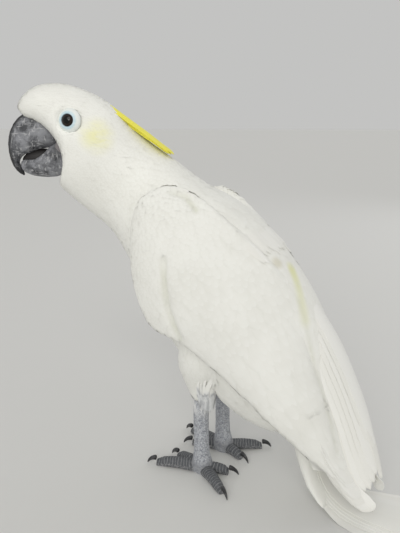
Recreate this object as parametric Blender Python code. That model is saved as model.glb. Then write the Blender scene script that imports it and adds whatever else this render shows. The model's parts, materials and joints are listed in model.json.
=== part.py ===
# White cockatoo of the sulphur-crested kind, standing still with its tail laid on the ground.
# Stations are in millimetres in the bird's own frame: x to its left, y backwards, z up from the soles.
# The whole body is one loft, parted with thin cuts; wings, legs, bill, eyes and crest fit against it.

import math

import bmesh
import bpy
import numpy as np
from mathutils import Matrix, Vector

MM = 0.001
GAP = 0.3                  # clearance between neighbouring solids
RING = 24                  # points round a body section
MERGE = 0.00002            # in metres
BIRD = "white_cockatoo"

# the head turns about an upright line through the foot of the neck
NECK_PIVOT_Y = -45.0
HEAD_TURN = 30.0           # degrees to the bird's left

# Body stations from rump to face: back point (y, z), front point (y, z), half width, turn, squareness.
RUMP = [
    (106, 66, 88, 44, 13, 0, 2.1),
    (106, 92, 66, 45, 24, 0, 2.1),
    (100, 117, 45, 48, 32, 0, 2.1),
    (89.5, 141, 25, 56, 37, 0, 2.2),
    (75, 164, 4, 70, 39, 0, 2.3),
    (57, 185.5, -14, 87, 40, 0, 2.4),
    (36, 204.5, -30, 107, 41, 0, 2.6),
    (14, 218, -45, 130, 41, 0, 2.6),
    (-6, 226.5, -59, 154, 38, 0, 2.4),
]
NECK = [
    (-20, 235, -72, 172, 33, 3, 2.3),
    (-33, 244, -81, 184, 30, 8, 2.2),
    (-44, 251.5, -90, 194, 28, 15, 2.1),
    (-55, 260, -100, 203.5, 26.5, 22, 2.0),
    (-64, 269, -109.5, 212.5, 25.5, 27, 2.0),
]
FACE = [
    (-72, 278, -118, 221, 25.5, 30, 2.0),
    (-83, 287, -121, 225, 26, 30, 2.0),
    (-96, 294, -117, 231, 26.3, 30, 2.0),
    (-111, 299, -115, 240, 25, 30, 2.0),
    (-125, 299.8, -116.5, 250, 22, 30, 2.0),
    (-137, 297, -121.5, 260, 18, 30, 2.0),
    (-146, 290, -130, 268.5, 13.5, 30, 2.0),
    (-149.8, 283, -140, 273, 9, 30, 2.0),
]
TRUNK_END = 8.5            # station numbers of the cuts that part trunk, neck and head
NECK_END = 14.0
BELLY_POWER = 2.0          # squareness of a section's lower half

# Wing stations from the bend to the tip: upper edge (x, y, z), lower edge (x, y, z), bulge, thickness.
WING = [
    (40, -20, 228, 46, -31, 219, 2, 9),
    (37, -13, 230, 49, -36, 204, 6, 15),
    (33, -2, 229, 50, -37.5, 182, 11, 18),
    (29.5, 13, 220.5, 51, -35, 158, 13, 19),
    (26, 28.5, 208, 51, -28, 138, 14, 19),
    (22.5, 45.5, 193, 50, -16, 124.5, 14, 18),
    (19, 63, 175, 50, 2, 120.5, 14, 17),
    (16.5, 78, 150.5, 49, 24, 109, 13.5, 15),
    (15, 90, 126, 49, 46, 96, 13.5, 12),
    (14, 100, 100, 48, 65, 80, 12.5, 10),
    (13, 107.5, 77, 45, 83, 66, 11, 8),
    (10, 115, 50, 38, 100, 50, 7, 6),
    (5.5, 121, 24, 30, 114, 33, 4, 4.5),
    (3.5, 128, 5, 22, 125, 12, 2, 3.2),
    (7, 134.5, -8, 13, 133, -5, 0.5, 1.6),
]
RIGHT_DROP = 7.5           # the right shoulder is held a little lower
WING_POINTS = 9            # points across the outer face
WING_CUTS = (6.3, 9.7)     # coverts, secondaries, primaries
WING_STEPS = (10, 5, 7)
DROP_REACH = 7.0           # stations from the bend over which the drop fades away
# the ends of the wings are bent up along an arc, so that their tips lie over the tail
LIFT_PIVOT = (101.0, 58.0)
LIFT_AXIS = math.radians(-70.0)
LIFT_CURVE = 0.0066        # radians per millimetre

# Tail: the root's place (y, z) and slope, its size, and the half width of its fan at root and end.
# It runs straight at first, and an arc then lays it down on the ground.
TAIL_ROOT = (83.0, 56.0)
TAIL_SLOPE = math.radians(-76.0)
TAIL_STRAIGHT = 26.0
TAIL_LENGTH = 158.0
TAIL_THICK = (27.0, 4.0)
TAIL_FLAT = 0.5            # its underside is pressed flat by this much where it lies on the ground
TAIL_THIN_FROM = 0.45      # the part of its length where it has thinned to the bare feathers
TAIL_FAN = (16.0, 37.0)
TAIL_ROUND = 0.11          # the part of its length that rounds off the end
TAIL_END = (0.3, 0.55)     # width and thickness of the very end, as shares of the full ones

# Upper bill: culmen (forward, up), cutting edge (forward, up), half width, all from the neck pivot.
BILL_UPPER = [
    (86, 285, 76, 260, 8.5),
    (97.5, 280, 84.5, 256.5, 9.8),
    (104.8, 275.6, 91, 253.3, 9.6),
    (109.8, 269.5, 97, 251, 8.6),
    (113, 262.3, 101.5, 248.5, 7.2),
    (114.2, 254.5, 105, 245.6, 5.8),
    (113.6, 246, 106.8, 242.2, 4.3),
    (111.2, 238.6, 105.6, 239, 3.0),
    (107.8, 234.2, 104.0, 236.4, 1.8),
    (103.9, 231.8, 103.1, 232.9, 0.6),
]
# Lower bill: upper edge (forward, up), underside (forward, up), half width.
BILL_LOWER = [
    (71, 254, 66, 236, 8.0),
    (79, 253, 76, 231.5, 9.6),
    (86.5, 249.3, 85, 230.6, 9.9),
    (93, 244.2, 93.5, 231.6, 9.0),
    (98, 242.2, 99.2, 234.6, 6.8),
    (100.6, 241.2, 101.9, 238.2, 3.2),
]

# Eyes: place from the neck pivot, ball, bare ring and the way they look before the head's turn.
EYE_FORWARD = 62.0
EYE_UP = 273.0
EYE_RADIUS = 6.4
EYE_OPENING = 4.6
EYE_PROUD = 0.5            # the opening stands this far out of the plumage
EYE_RING = 8.6
RING_DEPTH = 3.0
RING_PROFILE = (
    (EYE_OPENING + 0.45, 1.0),
    (EYE_OPENING + 1.5, 1.5),
    (EYE_RING - 1.2, 0.9),
    (EYE_RING, 0.1),
    (EYE_RING, -RING_DEPTH),
    (EYE_RADIUS + 0.6, -RING_DEPTH),
)
RING_TURNS = 18
POCKET_RISE = 6.0          # the eye's pocket is cut from this far outside the head
EYE_LOOK = (0.96, -0.24, 0.12)

# Crest: middle line (forward, up), half width, half height.
CREST = [
    (44, 285, 7.5, 5.0),
    (34, 279.5, 7.5, 5.6),
    (24, 272, 7.5, 5.6),
    (14, 265, 7.0, 5.6),
    (4, 258, 6.5, 5.4),
    (-5, 251.5, 5.5, 4.6),
    (-10.5, 249.0, 3.8, 3.2),
    (-13.2, 248.4, 1.4, 1.4),
]

# Legs: a row is centre (x, y, z), half breadth and half depth of a level section.
THIGH = [
    (25, 12, 112, 13, 22),
    (25, 9, 98, 13.5, 20.5),
    (23.5, 6, 88, 12.0, 16.5),
    (21, 4, 78, 9.8, 11.2),
    (19, 3.2, 70, 8.0, 8.4),
    (18.2, 3.4, 65.5, 7.2, 7.4),
    (18, 3.6, 63.5, 6.2, 6.4),
]
SHANK = [
    (18, 3.6, 63.1, 5.6, 5.8),
    (18, 3.6, 50, 5.6, 6.0),
    (18, 3.8, 32, 5.4, 5.8),
    (18, 4.2, 18, 5.8, 6.2),
    (18, 4.6, 11, 7.2, 7.6),
    (18, 4.8, 5, 7.6, 8.2),
    (18, 4.8, 0, 5.2, 5.6),
]
FOOT = (18.0, 4.8)
# Toes: heading from straight ahead (degrees, outwards positive), length without claw, root and tip radius.
TOES = {
    "toe_2": (-14, 27, 5.0, 3.6),
    "toe_3": (16, 38, 5.2, 3.6),
    "toe_4": (146, 33, 5.0, 3.5),
    "toe_1": (198, 21, 4.7, 3.5),
}
TOE_INSET = 3.0            # a toe starts this far out from the shank's middle
TOE_ARCH = 1.6
PAD_SINK = 0.72            # a toe's middle stands this part of its radius above the ground
CLAW_LENGTH = 10.5
CLAW_BEND = 1.25           # radians from root to point
CLAW_RADIUS = (2.3, 0.28)
CLAW_RISE = 1.75           # height of its root in tip radii of the toe
CLAW_RINGS = 5

COLOURS = {
    "plumage": ((0.86, 0.85, 0.81), 0.85),
    "crest": ((0.88, 0.82, 0.16), 0.8),
    "bill": ((0.17, 0.17, 0.18), 0.6),
    "eye": ((0.015, 0.012, 0.01), 0.08),
    "eye_ring": ((0.62, 0.72, 0.80), 0.7),
    "scales": ((0.22, 0.23, 0.25), 0.75),
    "claw": ((0.07, 0.07, 0.075), 0.45),
}


def clear_scene():
    for item in list(bpy.data.objects):
        bpy.data.objects.remove(item, do_unlink=True)


def collection(name):
    made = bpy.data.collections.new(name)
    bpy.context.scene.collection.children.link(made)
    return made


def material(name):
    colour, roughness = COLOURS[name]
    made = bpy.data.materials.get(name) or bpy.data.materials.new(name)
    made.use_nodes = True
    shader = made.node_tree.nodes["Principled BSDF"]
    shader.inputs["Base Color"].default_value = (*colour, 1.0)
    shader.inputs["Roughness"].default_value = roughness
    shader.inputs["Metallic"].default_value = 0.0
    return made


def between(rows, place):
    """One row of a station table at a fractional place, on a Catmull-Rom curve through the rows."""
    table = np.array(rows, dtype=float)
    last = len(table) - 1
    k = min(int(place), last - 1)
    t = place - k
    p1, p2 = table[k], table[k + 1]
    p0 = table[k - 1] if k > 0 else 2 * p1 - p2
    p3 = table[k + 2] if k + 2 <= last else 2 * p2 - p1
    return 0.5 * (2 * p1 + (p2 - p0) * t + (2 * p0 - 5 * p1 + 4 * p2 - p3) * t * t
                  + (3 * p1 - p0 - 3 * p2 + p3) * t ** 3)


def places(first, last, steps):
    return [first + (last - first) * i / steps for i in range(steps + 1)]


def turned(y, z, degrees):
    """A point of the bird's middle plane, carried round with the neck."""
    reach = NECK_PIVOT_Y - y
    angle = math.radians(degrees)
    return Vector((reach * math.sin(angle), NECK_PIVOT_Y - reach * math.cos(angle), z))


def oval(centre, side, up, half_side, half_up, power=2.0, low_power=None, count=RING):
    """A closed section: a superellipse, with its own squareness above and below."""
    points = []
    for i in range(count):
        a = 2 * math.pi * i / count
        c, s = math.cos(a), math.sin(a)
        bend = 2 / (power if s > 0 else low_power or power)
        across = math.copysign(abs(c) ** bend, c) * half_side
        points.append(centre + side * across + up * math.copysign(abs(s) ** bend, s) * half_up)
    return points


def put(name, bm, paint, where, smooth=True):
    mesh = bpy.data.meshes.new(name)
    bmesh.ops.recalc_face_normals(bm, faces=bm.faces)
    bmesh.ops.scale(bm, vec=(MM, MM, MM), verts=bm.verts)
    bm.to_mesh(mesh)
    bm.free()
    if smooth:
        mesh.shade_smooth()
    made = bpy.data.objects.new(name, mesh)
    if paint:
        mesh.materials.append(material(paint))
    where.objects.link(made)
    return made


def loft(name, rings, paint, where, flat=None):
    """Skin rings of equal count into a closed solid; flat lifts whatever is lower to that level."""
    bm = bmesh.new()
    rows = []
    for ring in rings:
        row = []
        for point in ring:
            z = point.z if flat is None else max(point.z, flat)
            row.append(bm.verts.new((point.x, point.y, z)))
        rows.append(row)
    count = len(rows[0])
    for a, b in zip(rows, rows[1:]):
        for i in range(count):
            j = (i + 1) % count
            bm.faces.new((a[i], a[j], b[j], b[i]))
    bm.faces.new(rows[0])
    bm.faces.new(rows[-1])
    bmesh.ops.triangulate(bm, faces=[face for face in bm.faces if len(face.verts) > 4])
    return put(name, bm, paint, where)


def grown(source, gap, where):
    """A cutter: the finished source, swollen by the gap."""
    shape = source.evaluated_get(bpy.context.evaluated_depsgraph_get())
    mesh = bpy.data.meshes.new_from_object(shape)
    bm = bmesh.new()
    bm.from_mesh(mesh)
    bm.normal_update()
    moves = [(vert, vert.normal.copy()) for vert in bm.verts]
    for vert, normal in moves:
        vert.co += normal * gap * MM
    bm.to_mesh(mesh)
    bm.free()
    cutter = bpy.data.objects.new(source.name + "_cutter", mesh)
    cutter.matrix_world = source.matrix_world
    cutter.hide_render = True
    cutter.display_type = "WIRE"
    where.objects.link(cutter)
    return cutter


def cut(target, cutter):
    """Take the cutter's shape out of the target for good."""
    step = target.modifiers.new("cut", "BOOLEAN")
    step.operation = "DIFFERENCE"
    step.solver = "EXACT"
    step.object = cutter
    bpy.context.view_layer.update()
    shape = target.evaluated_get(bpy.context.evaluated_depsgraph_get())
    mesh = bpy.data.meshes.new_from_object(shape)
    target.modifiers.clear()
    old = target.data
    target.data = mesh
    bpy.data.meshes.remove(old)


def keep_largest(target):
    """Drop slivers that a cut left loose beside the main piece."""
    bm = bmesh.new()
    bm.from_mesh(target.data)
    bmesh.ops.remove_doubles(bm, verts=bm.verts, dist=MERGE)
    bm.verts.ensure_lookup_table()
    left = set(bm.verts)
    groups = []
    while left:
        group, edge = set(), [left.pop()]
        while edge:
            vert = edge.pop()
            group.add(vert)
            for link in vert.link_edges:
                other = link.other_vert(vert)
                if other in left:
                    left.discard(other)
                    edge.append(other)
        groups.append(group)
    main = max(groups, key=len)
    bmesh.ops.delete(bm, geom=[vert for vert in bm.verts if vert not in main], context="VERTS")
    bm.to_mesh(target.data)
    bm.free()


def split_faces(target):
    """Make triangles of all faces, so that a twisted one has only one shape."""
    bm = bmesh.new()
    bm.from_mesh(target.data)
    bmesh.ops.triangulate(bm, faces=bm.faces)
    bm.to_mesh(target.data)
    bm.free()


def body_ring(place, shift=0.0):
    """Section of the body at a station, moved along the spine by shift."""
    back_y, back_z, front_y, front_z, width, turn, power = between(RUMP + NECK + FACE, place)
    back = turned(back_y, back_z, turn)
    front = turned(front_y, front_z, turn)
    angle = math.radians(turn)
    side = Vector((math.cos(angle), math.sin(angle), 0.0))
    up = (back - front).normalized()
    ahead = side.cross(up).normalized()
    half = (back - front).length / 2
    centre = (back + front) / 2 + ahead * shift
    return oval(centre, side, up, width, half, power, BELLY_POWER)


def make_body(birds):
    neck_rows = len(RUMP) + len(NECK)
    last = neck_rows + len(FACE) - 1
    trunk = [body_ring(p) for p in places(0, TRUNK_END, 15)][:-1] + [body_ring(TRUNK_END, -GAP / 2)]
    neck = [body_ring(TRUNK_END, GAP / 2)] + [body_ring(p) for p in places(TRUNK_END, NECK_END, 7)][1:-1]
    neck.append(body_ring(NECK_END, -GAP / 2))
    head = [body_ring(NECK_END, GAP / 2)] + [body_ring(p) for p in places(NECK_END, last, 12)][1:]
    made = {}
    for name, rings in (("trunk", trunk), ("neck", neck), ("head", head)):
        made[name] = loft(name, rings, "plumage", birds)
    return made


def lifted(point):
    """Bend a point of the wing's rear up along the lift arc."""
    along = Vector((math.cos(LIFT_AXIS), math.sin(LIFT_AXIS)))
    off = Vector((-along.y, along.x))
    local = Vector((point.y - LIFT_PIVOT[0], point.z - LIFT_PIVOT[1]))
    reach, height = local.dot(along), local.dot(off)
    if reach <= 0:
        return point
    angle = LIFT_AXIS + LIFT_CURVE * reach
    y = LIFT_PIVOT[0] + (math.sin(angle) - math.sin(LIFT_AXIS)) / LIFT_CURVE
    z = LIFT_PIVOT[1] - (math.cos(angle) - math.cos(LIFT_AXIS)) / LIFT_CURVE
    return Vector((point.x, y - math.sin(angle) * height, z + math.cos(angle) * height))


def wing_ring(place, side, shift=0.0):
    """Section of a wing: a bulged outer face and an inner face a thickness below it."""
    ux, uy, uz, lx, ly, lz, bulge, thick = between(WING, place)
    upper = lifted(Vector((ux, uy, uz)))
    lower = lifted(Vector((lx, ly, lz)))
    chord = lower - upper
    ahead_row = between(WING, min(place + 0.05, len(WING) - 1))
    behind_row = between(WING, max(place - 0.05, 0))
    ahead = lifted(Vector(ahead_row[:3])) + lifted(Vector(ahead_row[3:6]))
    behind = lifted(Vector(behind_row[:3])) + lifted(Vector(behind_row[3:6]))
    outward = chord.cross(ahead - behind).normalized()
    if outward.x < 0:
        outward = -outward
    along = outward.cross(chord).normalized()
    if along.y < 0:
        along = -along
    points = []
    for i in range(WING_POINTS):
        t = i / (WING_POINTS - 1)
        points.append(upper + chord * t + outward * bulge * math.sin(math.pi * t) ** 0.8)
    for i in range(1, WING_POINTS - 1):
        t = 1 - i / (WING_POINTS - 1)
        arch = math.sin(math.pi * t)
        points.append(upper + chord * t + outward * (bulge * arch ** 0.8 - thick * arch ** 0.45))
    drop = RIGHT_DROP * max(0.0, 1 - place / DROP_REACH) if side < 0 else 0.0
    points = [point + along * shift - Vector((0, 0, drop)) for point in points]
    return [Vector((point.x * side, point.y, point.z)) for point in points]


def make_wing(hand, side, birds):
    last = len(WING) - 1
    edges = (0.0, *WING_CUTS, float(last))
    made = []
    parts = ("coverts", "secondaries", "primaries")
    for part, first, end, steps in zip(parts, edges, edges[1:], WING_STEPS):
        rings = [wing_ring(p, side) for p in places(first, end, steps)]
        if first > 0:
            rings[0] = wing_ring(first, side, GAP / 2)
        if end < last:
            rings[-1] = wing_ring(end, side, -GAP / 2)
        made.append(loft(f"wing_{hand}_{part}", rings, "plumage", birds))
    return made


def tail_point(run):
    """Middle line of the tail and its slope, laid down along an arc."""
    y, z = TAIL_ROOT
    if run < TAIL_STRAIGHT:
        return y + run * math.cos(TAIL_SLOPE), z + run * math.sin(TAIL_SLOPE), TAIL_SLOPE
    run -= TAIL_STRAIGHT
    y += TAIL_STRAIGHT * math.cos(TAIL_SLOPE)
    z += TAIL_STRAIGHT * math.sin(TAIL_SLOPE)
    floor = TAIL_THICK[1] / 2 - TAIL_FLAT
    radius = (z - floor) / (1 - math.cos(TAIL_SLOPE))
    arc = -TAIL_SLOPE * radius
    if run < arc:
        angle = TAIL_SLOPE + run / radius
        return y + radius * (math.sin(angle) - math.sin(TAIL_SLOPE)), \
            floor + radius * (1 - math.cos(angle)), angle
    return y - radius * math.sin(TAIL_SLOPE) + run - arc, floor, 0.0


def make_tail(birds):
    rings = []
    runs = places(0.0, 1 - TAIL_ROUND, 11) + [1 - TAIL_ROUND * k for k in (0.6, 0.28, 0.08, 0.0)]
    for t in runs:
        y, z, angle = tail_point(TAIL_LENGTH * t)
        width = TAIL_FAN[0] + (TAIL_FAN[1] - TAIL_FAN[0]) * t ** 0.75
        fleshy = max(0.0, 1 - t / TAIL_THIN_FROM) ** 1.3
        thick = TAIL_THICK[1] + (TAIL_THICK[0] - TAIL_THICK[1]) * fleshy
        past = max(0.0, t - 1 + TAIL_ROUND) / TAIL_ROUND
        width *= TAIL_END[0] + (1 - TAIL_END[0]) * math.sqrt(1 - past * past)
        thick *= 1 - (1 - TAIL_END[1]) * past
        up = Vector((0.0, -math.sin(angle), math.cos(angle)))
        rings.append(oval(Vector((0.0, y, z)), Vector((1, 0, 0)), up, width, thick / 2, 2.4, count=16))
    return loft("tail", rings, "plumage", birds, flat=0.0)


def head_point(forward, up, out=0.0):
    """A point given forward of the neck pivot in the head's own plane."""
    angle = math.radians(HEAD_TURN)
    base = turned(NECK_PIVOT_Y - forward, up, HEAD_TURN)
    return base + Vector((math.cos(angle), math.sin(angle), 0.0)) * out


def make_bill(name, rows, steps, ridge, birds):
    """A mandible: sections between its two profiles, narrowed towards the ridge side."""
    side = head_point(0, 0, 1) - head_point(0, 0)
    rings = []
    for place in places(0, len(rows) - 1, steps):
        top_f, top_u, low_f, low_u, width = between(rows, place)
        top, low = head_point(top_f, top_u), head_point(low_f, low_u)
        up = top - low
        points = []
        count = 14
        for i in range(count):
            a = 2 * math.pi * i / count
            rise = math.sin(a)
            slim = 1 - ridge * rise
            across = math.copysign(abs(math.cos(a)) ** 0.85, math.cos(a)) * width * slim
            points.append((top + low) / 2 + up * rise * 0.5 + side * across)
        rings.append(points)
    return loft(name, rings, "bill", birds)


def eye_look(side):
    """The way an eye looks, carried round with the head."""
    look = Vector((EYE_LOOK[0] * side, EYE_LOOK[1], EYE_LOOK[2])).normalized()
    return Matrix.Rotation(math.radians(HEAD_TURN), 3, "Z") @ look


def make_eye(hand, side, head, birds, cutters):
    """Eyeball and bare ring, set into the head where its surface is."""
    look = eye_look(side)
    start = head_point(EYE_FORWARD, EYE_UP)
    aside = head_point(EYE_FORWARD, EYE_UP, side) - start
    _, where, _, _ = head.ray_cast(start * MM, aside)
    surface = where / MM
    quarter = look.to_track_quat("Z", "Y").to_matrix().to_4x4()

    sink = math.sqrt(EYE_RADIUS ** 2 - EYE_OPENING ** 2)
    bm = bmesh.new()
    bmesh.ops.create_uvsphere(bm, u_segments=14, v_segments=9, radius=EYE_RADIUS)
    bmesh.ops.transform(bm, matrix=quarter, verts=bm.verts)
    bmesh.ops.translate(bm, vec=surface - look * (sink - EYE_PROUD), verts=bm.verts)
    ball = put(f"eye_{hand}", bm, "eye", birds)

    bm = bmesh.new()
    rows = []
    for k in range(RING_TURNS):
        a = 2 * math.pi * k / RING_TURNS
        spoke = quarter.to_3x3() @ Vector((math.cos(a), math.sin(a), 0))
        rows.append([bm.verts.new(surface + spoke * r + look * h) for r, h in RING_PROFILE])
    for k in range(RING_TURNS):
        a, b = rows[k], rows[(k + 1) % RING_TURNS]
        for i in range(len(RING_PROFILE)):
            j = (i + 1) % len(RING_PROFILE)
            bm.faces.new((a[i], b[i], b[j], a[j]))
    put(f"eye_ring_{hand}", bm, "eye_ring", birds)
    cut(head, grown(ball, GAP, cutters))

    bm = bmesh.new()
    bmesh.ops.create_cone(bm, cap_ends=True, segments=RING_TURNS, radius1=EYE_RING + GAP,
                          radius2=EYE_RING + GAP, depth=RING_DEPTH + GAP + POCKET_RISE)
    bmesh.ops.translate(bm, vec=(0, 0, (POCKET_RISE - RING_DEPTH - GAP) / 2), verts=bm.verts)
    bmesh.ops.transform(bm, matrix=quarter, verts=bm.verts)
    bmesh.ops.translate(bm, vec=surface, verts=bm.verts)
    pocket = put(f"eye_{hand}_pocket_cutter", bm, None, cutters)
    pocket.hide_render = True
    pocket.display_type = "WIRE"
    cut(head, pocket)


def make_crest(birds):
    side = head_point(0, 0, 1) - head_point(0, 0)
    rings = []
    for place in places(0, len(CREST) - 1, 10):
        forward, up, width, height = between(CREST, place)
        nearby = between(CREST, min(place + 0.1, len(CREST) - 1)) - between(CREST, max(place - 0.1, 0))
        run = head_point(nearby[0], nearby[1]) - head_point(0, 0)
        normal = side.cross(run).normalized()
        if normal.z < 0:
            normal = -normal
        rings.append(oval(head_point(forward, up), side, normal, width, height, 2.2, count=12))
    return loft("crest", rings, "crest", birds)


def level_ring(row, side, count=12):
    x, y, z, breadth, depth = row
    return oval(Vector((x * side, y, z)), Vector((1, 0, 0)), Vector((0, 1, 0)), breadth, depth, count=count)


def make_toe(name, hand, side, birds):
    """A toe and its claw, resting on small flats."""
    heading, length, root, tip = TOES[name]
    angle = math.radians(heading)
    ahead = Vector((math.sin(angle) * side, -math.cos(angle), 0.0))
    across = Vector((-ahead.y, ahead.x, 0.0))
    start = Vector((FOOT[0] * side, FOOT[1], 0.0))
    rings = []
    steps = 6
    for i in range(steps + 1):
        t = i / steps
        radius = root + (tip - root) * t
        arch = TOE_ARCH * math.sin(math.pi * t)
        if i == steps:
            radius *= 0.75
        middle = start + ahead * (TOE_INSET + (length - TOE_INSET) * t)
        middle.z = radius * PAD_SINK + arch
        rings.append(oval(middle, across, Vector((0, 0, 1)), radius, radius, count=10))
    toe = loft(f"{name}_{hand}", rings, "scales", birds, flat=0.0)

    rings = []
    for i in range(CLAW_RINGS):
        t = i / (CLAW_RINGS - 1)
        bend = CLAW_BEND * t
        radius = CLAW_RADIUS[0] * (1 - t) ** 0.75 + CLAW_RADIUS[1]
        reach = length + GAP * 1.6 + CLAW_LENGTH * math.sin(bend) / CLAW_BEND
        drop = CLAW_LENGTH * (1 - math.cos(bend)) / CLAW_BEND
        middle = start + ahead * reach
        middle.z = max(tip * CLAW_RISE - drop, radius)
        normal = Vector((0, 0, math.cos(bend))) + ahead * math.sin(bend)
        rings.append(oval(middle, across, normal, radius * 0.75, radius, count=8))
    claw = loft(f"claw_{name[-1]}_{hand}", rings, "claw", birds, flat=0.0)
    return toe, claw


def make_leg(hand, side, made, birds, cutters):
    thigh_rows = [between(THIGH, p) for p in places(0, len(THIGH) - 1, 7)]
    thigh = loft(f"thigh_{hand}", [level_ring(row, side) for row in thigh_rows], "plumage", birds)
    cut(thigh, made["trunk_cutter"])
    keep_largest(thigh)
    shank_rows = [between(SHANK, p) for p in places(0, len(SHANK) - 1, 8)]
    shank = loft(f"shank_{hand}", [level_ring(row, side) for row in shank_rows], "scales", birds, flat=0.0)
    shank_cutter = grown(shank, GAP, cutters)
    toes = []
    for name in TOES:
        toe, _ = make_toe(name, hand, side, birds)
        cut(toe, shank_cutter)
        keep_largest(toe)
        for other in toes:
            cut(toe, other)
            keep_largest(toe)
        toes.append(grown(toe, GAP, cutters))


def centre_on_ground(birds):
    """Put the origin under the middle of the whole bird's box."""
    bpy.context.view_layer.update()
    low, high = np.full(3, np.inf), np.full(3, -np.inf)
    for item in birds.objects:
        corners = np.array([item.matrix_world @ vert.co for vert in item.data.vertices])
        low, high = np.minimum(low, corners.min(0)), np.maximum(high, corners.max(0))
    move = Vector((-(low[0] + high[0]) / 2, -(low[1] + high[1]) / 2, -low[2]))
    for item in birds.objects:
        for vert in item.data.vertices:
            vert.co += move


def main():
    clear_scene()
    birds = collection(BIRD)
    cutters = collection("cutters")
    made = make_body(birds)
    made["trunk_cutter"] = grown(made["trunk"], GAP, cutters)
    neck_cutter = grown(made["neck"], GAP, cutters)

    upper = make_bill("bill_upper", BILL_UPPER, 13, 0.28, birds)
    lower = make_bill("bill_lower", BILL_LOWER, 8, -0.22, birds)
    crest = make_crest(birds)
    cut(crest, grown(made["head"], GAP, cutters))
    cut(crest, neck_cutter)
    keep_largest(crest)
    for hand, side in (("left", 1), ("right", -1)):
        make_eye(hand, side, made["head"], birds, cutters)
    for mandible in (upper, lower):
        cut(made["head"], grown(mandible, GAP, cutters))
    keep_largest(made["head"])

    tail = make_tail(birds)
    cut(tail, made["trunk_cutter"])
    keep_largest(tail)
    tail_cutter = grown(tail, GAP, cutters)

    for hand, side in (("left", 1), ("right", -1)):
        for piece in make_wing(hand, side, birds):
            cut(piece, made["trunk_cutter"])
            cut(piece, neck_cutter)
            cut(piece, tail_cutter)
            keep_largest(piece)
            split_faces(piece)
        make_leg(hand, side, made, birds, cutters)
    centre_on_ground(birds)
    for item in birds.objects:
        print(item.name, len(item.data.polygons))


main()
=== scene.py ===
# White cockatoo: skin, plumage, bill, eyes, legs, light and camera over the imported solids.
import itertools
import json
import math

import bmesh
import bpy
import numpy as np
from mathutils import Matrix, Vector, noise
from mathutils.bvhtree import BVHTree

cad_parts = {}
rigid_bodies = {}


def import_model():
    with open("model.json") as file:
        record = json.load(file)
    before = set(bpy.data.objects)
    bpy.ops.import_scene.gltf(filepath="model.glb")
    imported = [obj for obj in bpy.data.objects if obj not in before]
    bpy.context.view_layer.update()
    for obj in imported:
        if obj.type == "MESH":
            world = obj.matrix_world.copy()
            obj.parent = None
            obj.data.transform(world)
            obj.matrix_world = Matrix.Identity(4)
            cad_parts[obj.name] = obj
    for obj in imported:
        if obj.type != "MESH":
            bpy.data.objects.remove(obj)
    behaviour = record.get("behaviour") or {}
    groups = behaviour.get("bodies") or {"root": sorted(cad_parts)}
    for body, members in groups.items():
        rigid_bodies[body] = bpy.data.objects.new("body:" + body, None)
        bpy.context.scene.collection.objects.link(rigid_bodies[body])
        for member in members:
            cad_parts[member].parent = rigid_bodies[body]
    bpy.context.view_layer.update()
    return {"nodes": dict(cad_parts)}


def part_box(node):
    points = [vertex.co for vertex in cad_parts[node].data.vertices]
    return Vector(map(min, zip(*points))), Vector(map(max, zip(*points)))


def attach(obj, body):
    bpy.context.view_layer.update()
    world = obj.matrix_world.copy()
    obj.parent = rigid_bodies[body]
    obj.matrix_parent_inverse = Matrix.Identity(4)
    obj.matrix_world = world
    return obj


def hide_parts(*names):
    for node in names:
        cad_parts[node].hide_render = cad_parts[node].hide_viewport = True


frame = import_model()
nodes = frame["nodes"]
scene = bpy.context.scene
mm = 0.001
sideOf = {"left": 1, "right": -1}
hands = tuple(sideOf)
rng = np.random.default_rng(11)


class Wire:
    # one socket, with the arithmetic that the materials below use
    def __init__(self, paint, socket):
        self.paint = paint
        self.socket = socket

    def maths(self, operation, first, second):
        return self.paint.add("ShaderNodeMath", {"operation": operation}, {0: first, 1: second})

    def __add__(self, other):
        return self.maths("ADD", self, other)

    def __radd__(self, other):
        return self.maths("ADD", other, self)

    def __sub__(self, other):
        return self.maths("SUBTRACT", self, other)

    def __rsub__(self, other):
        return self.maths("SUBTRACT", other, self)

    def __mul__(self, other):
        return self.maths("MULTIPLY", self, other)

    def __rmul__(self, other):
        return self.maths("MULTIPLY", other, self)

    def __truediv__(self, other):
        return self.maths("DIVIDE", self, other)

    def most(self, other):
        return self.maths("MAXIMUM", self, other)

    def step(self, low, high):
        # 0 below low, 1 above high, smooth between
        values = {"Value": self, "From Min": low, "From Max": high, "To Min": 0.0, "To Max": 1.0}
        return self.paint.add("ShaderNodeMapRange", {"interpolation_type": "SMOOTHSTEP"}, values)


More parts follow.
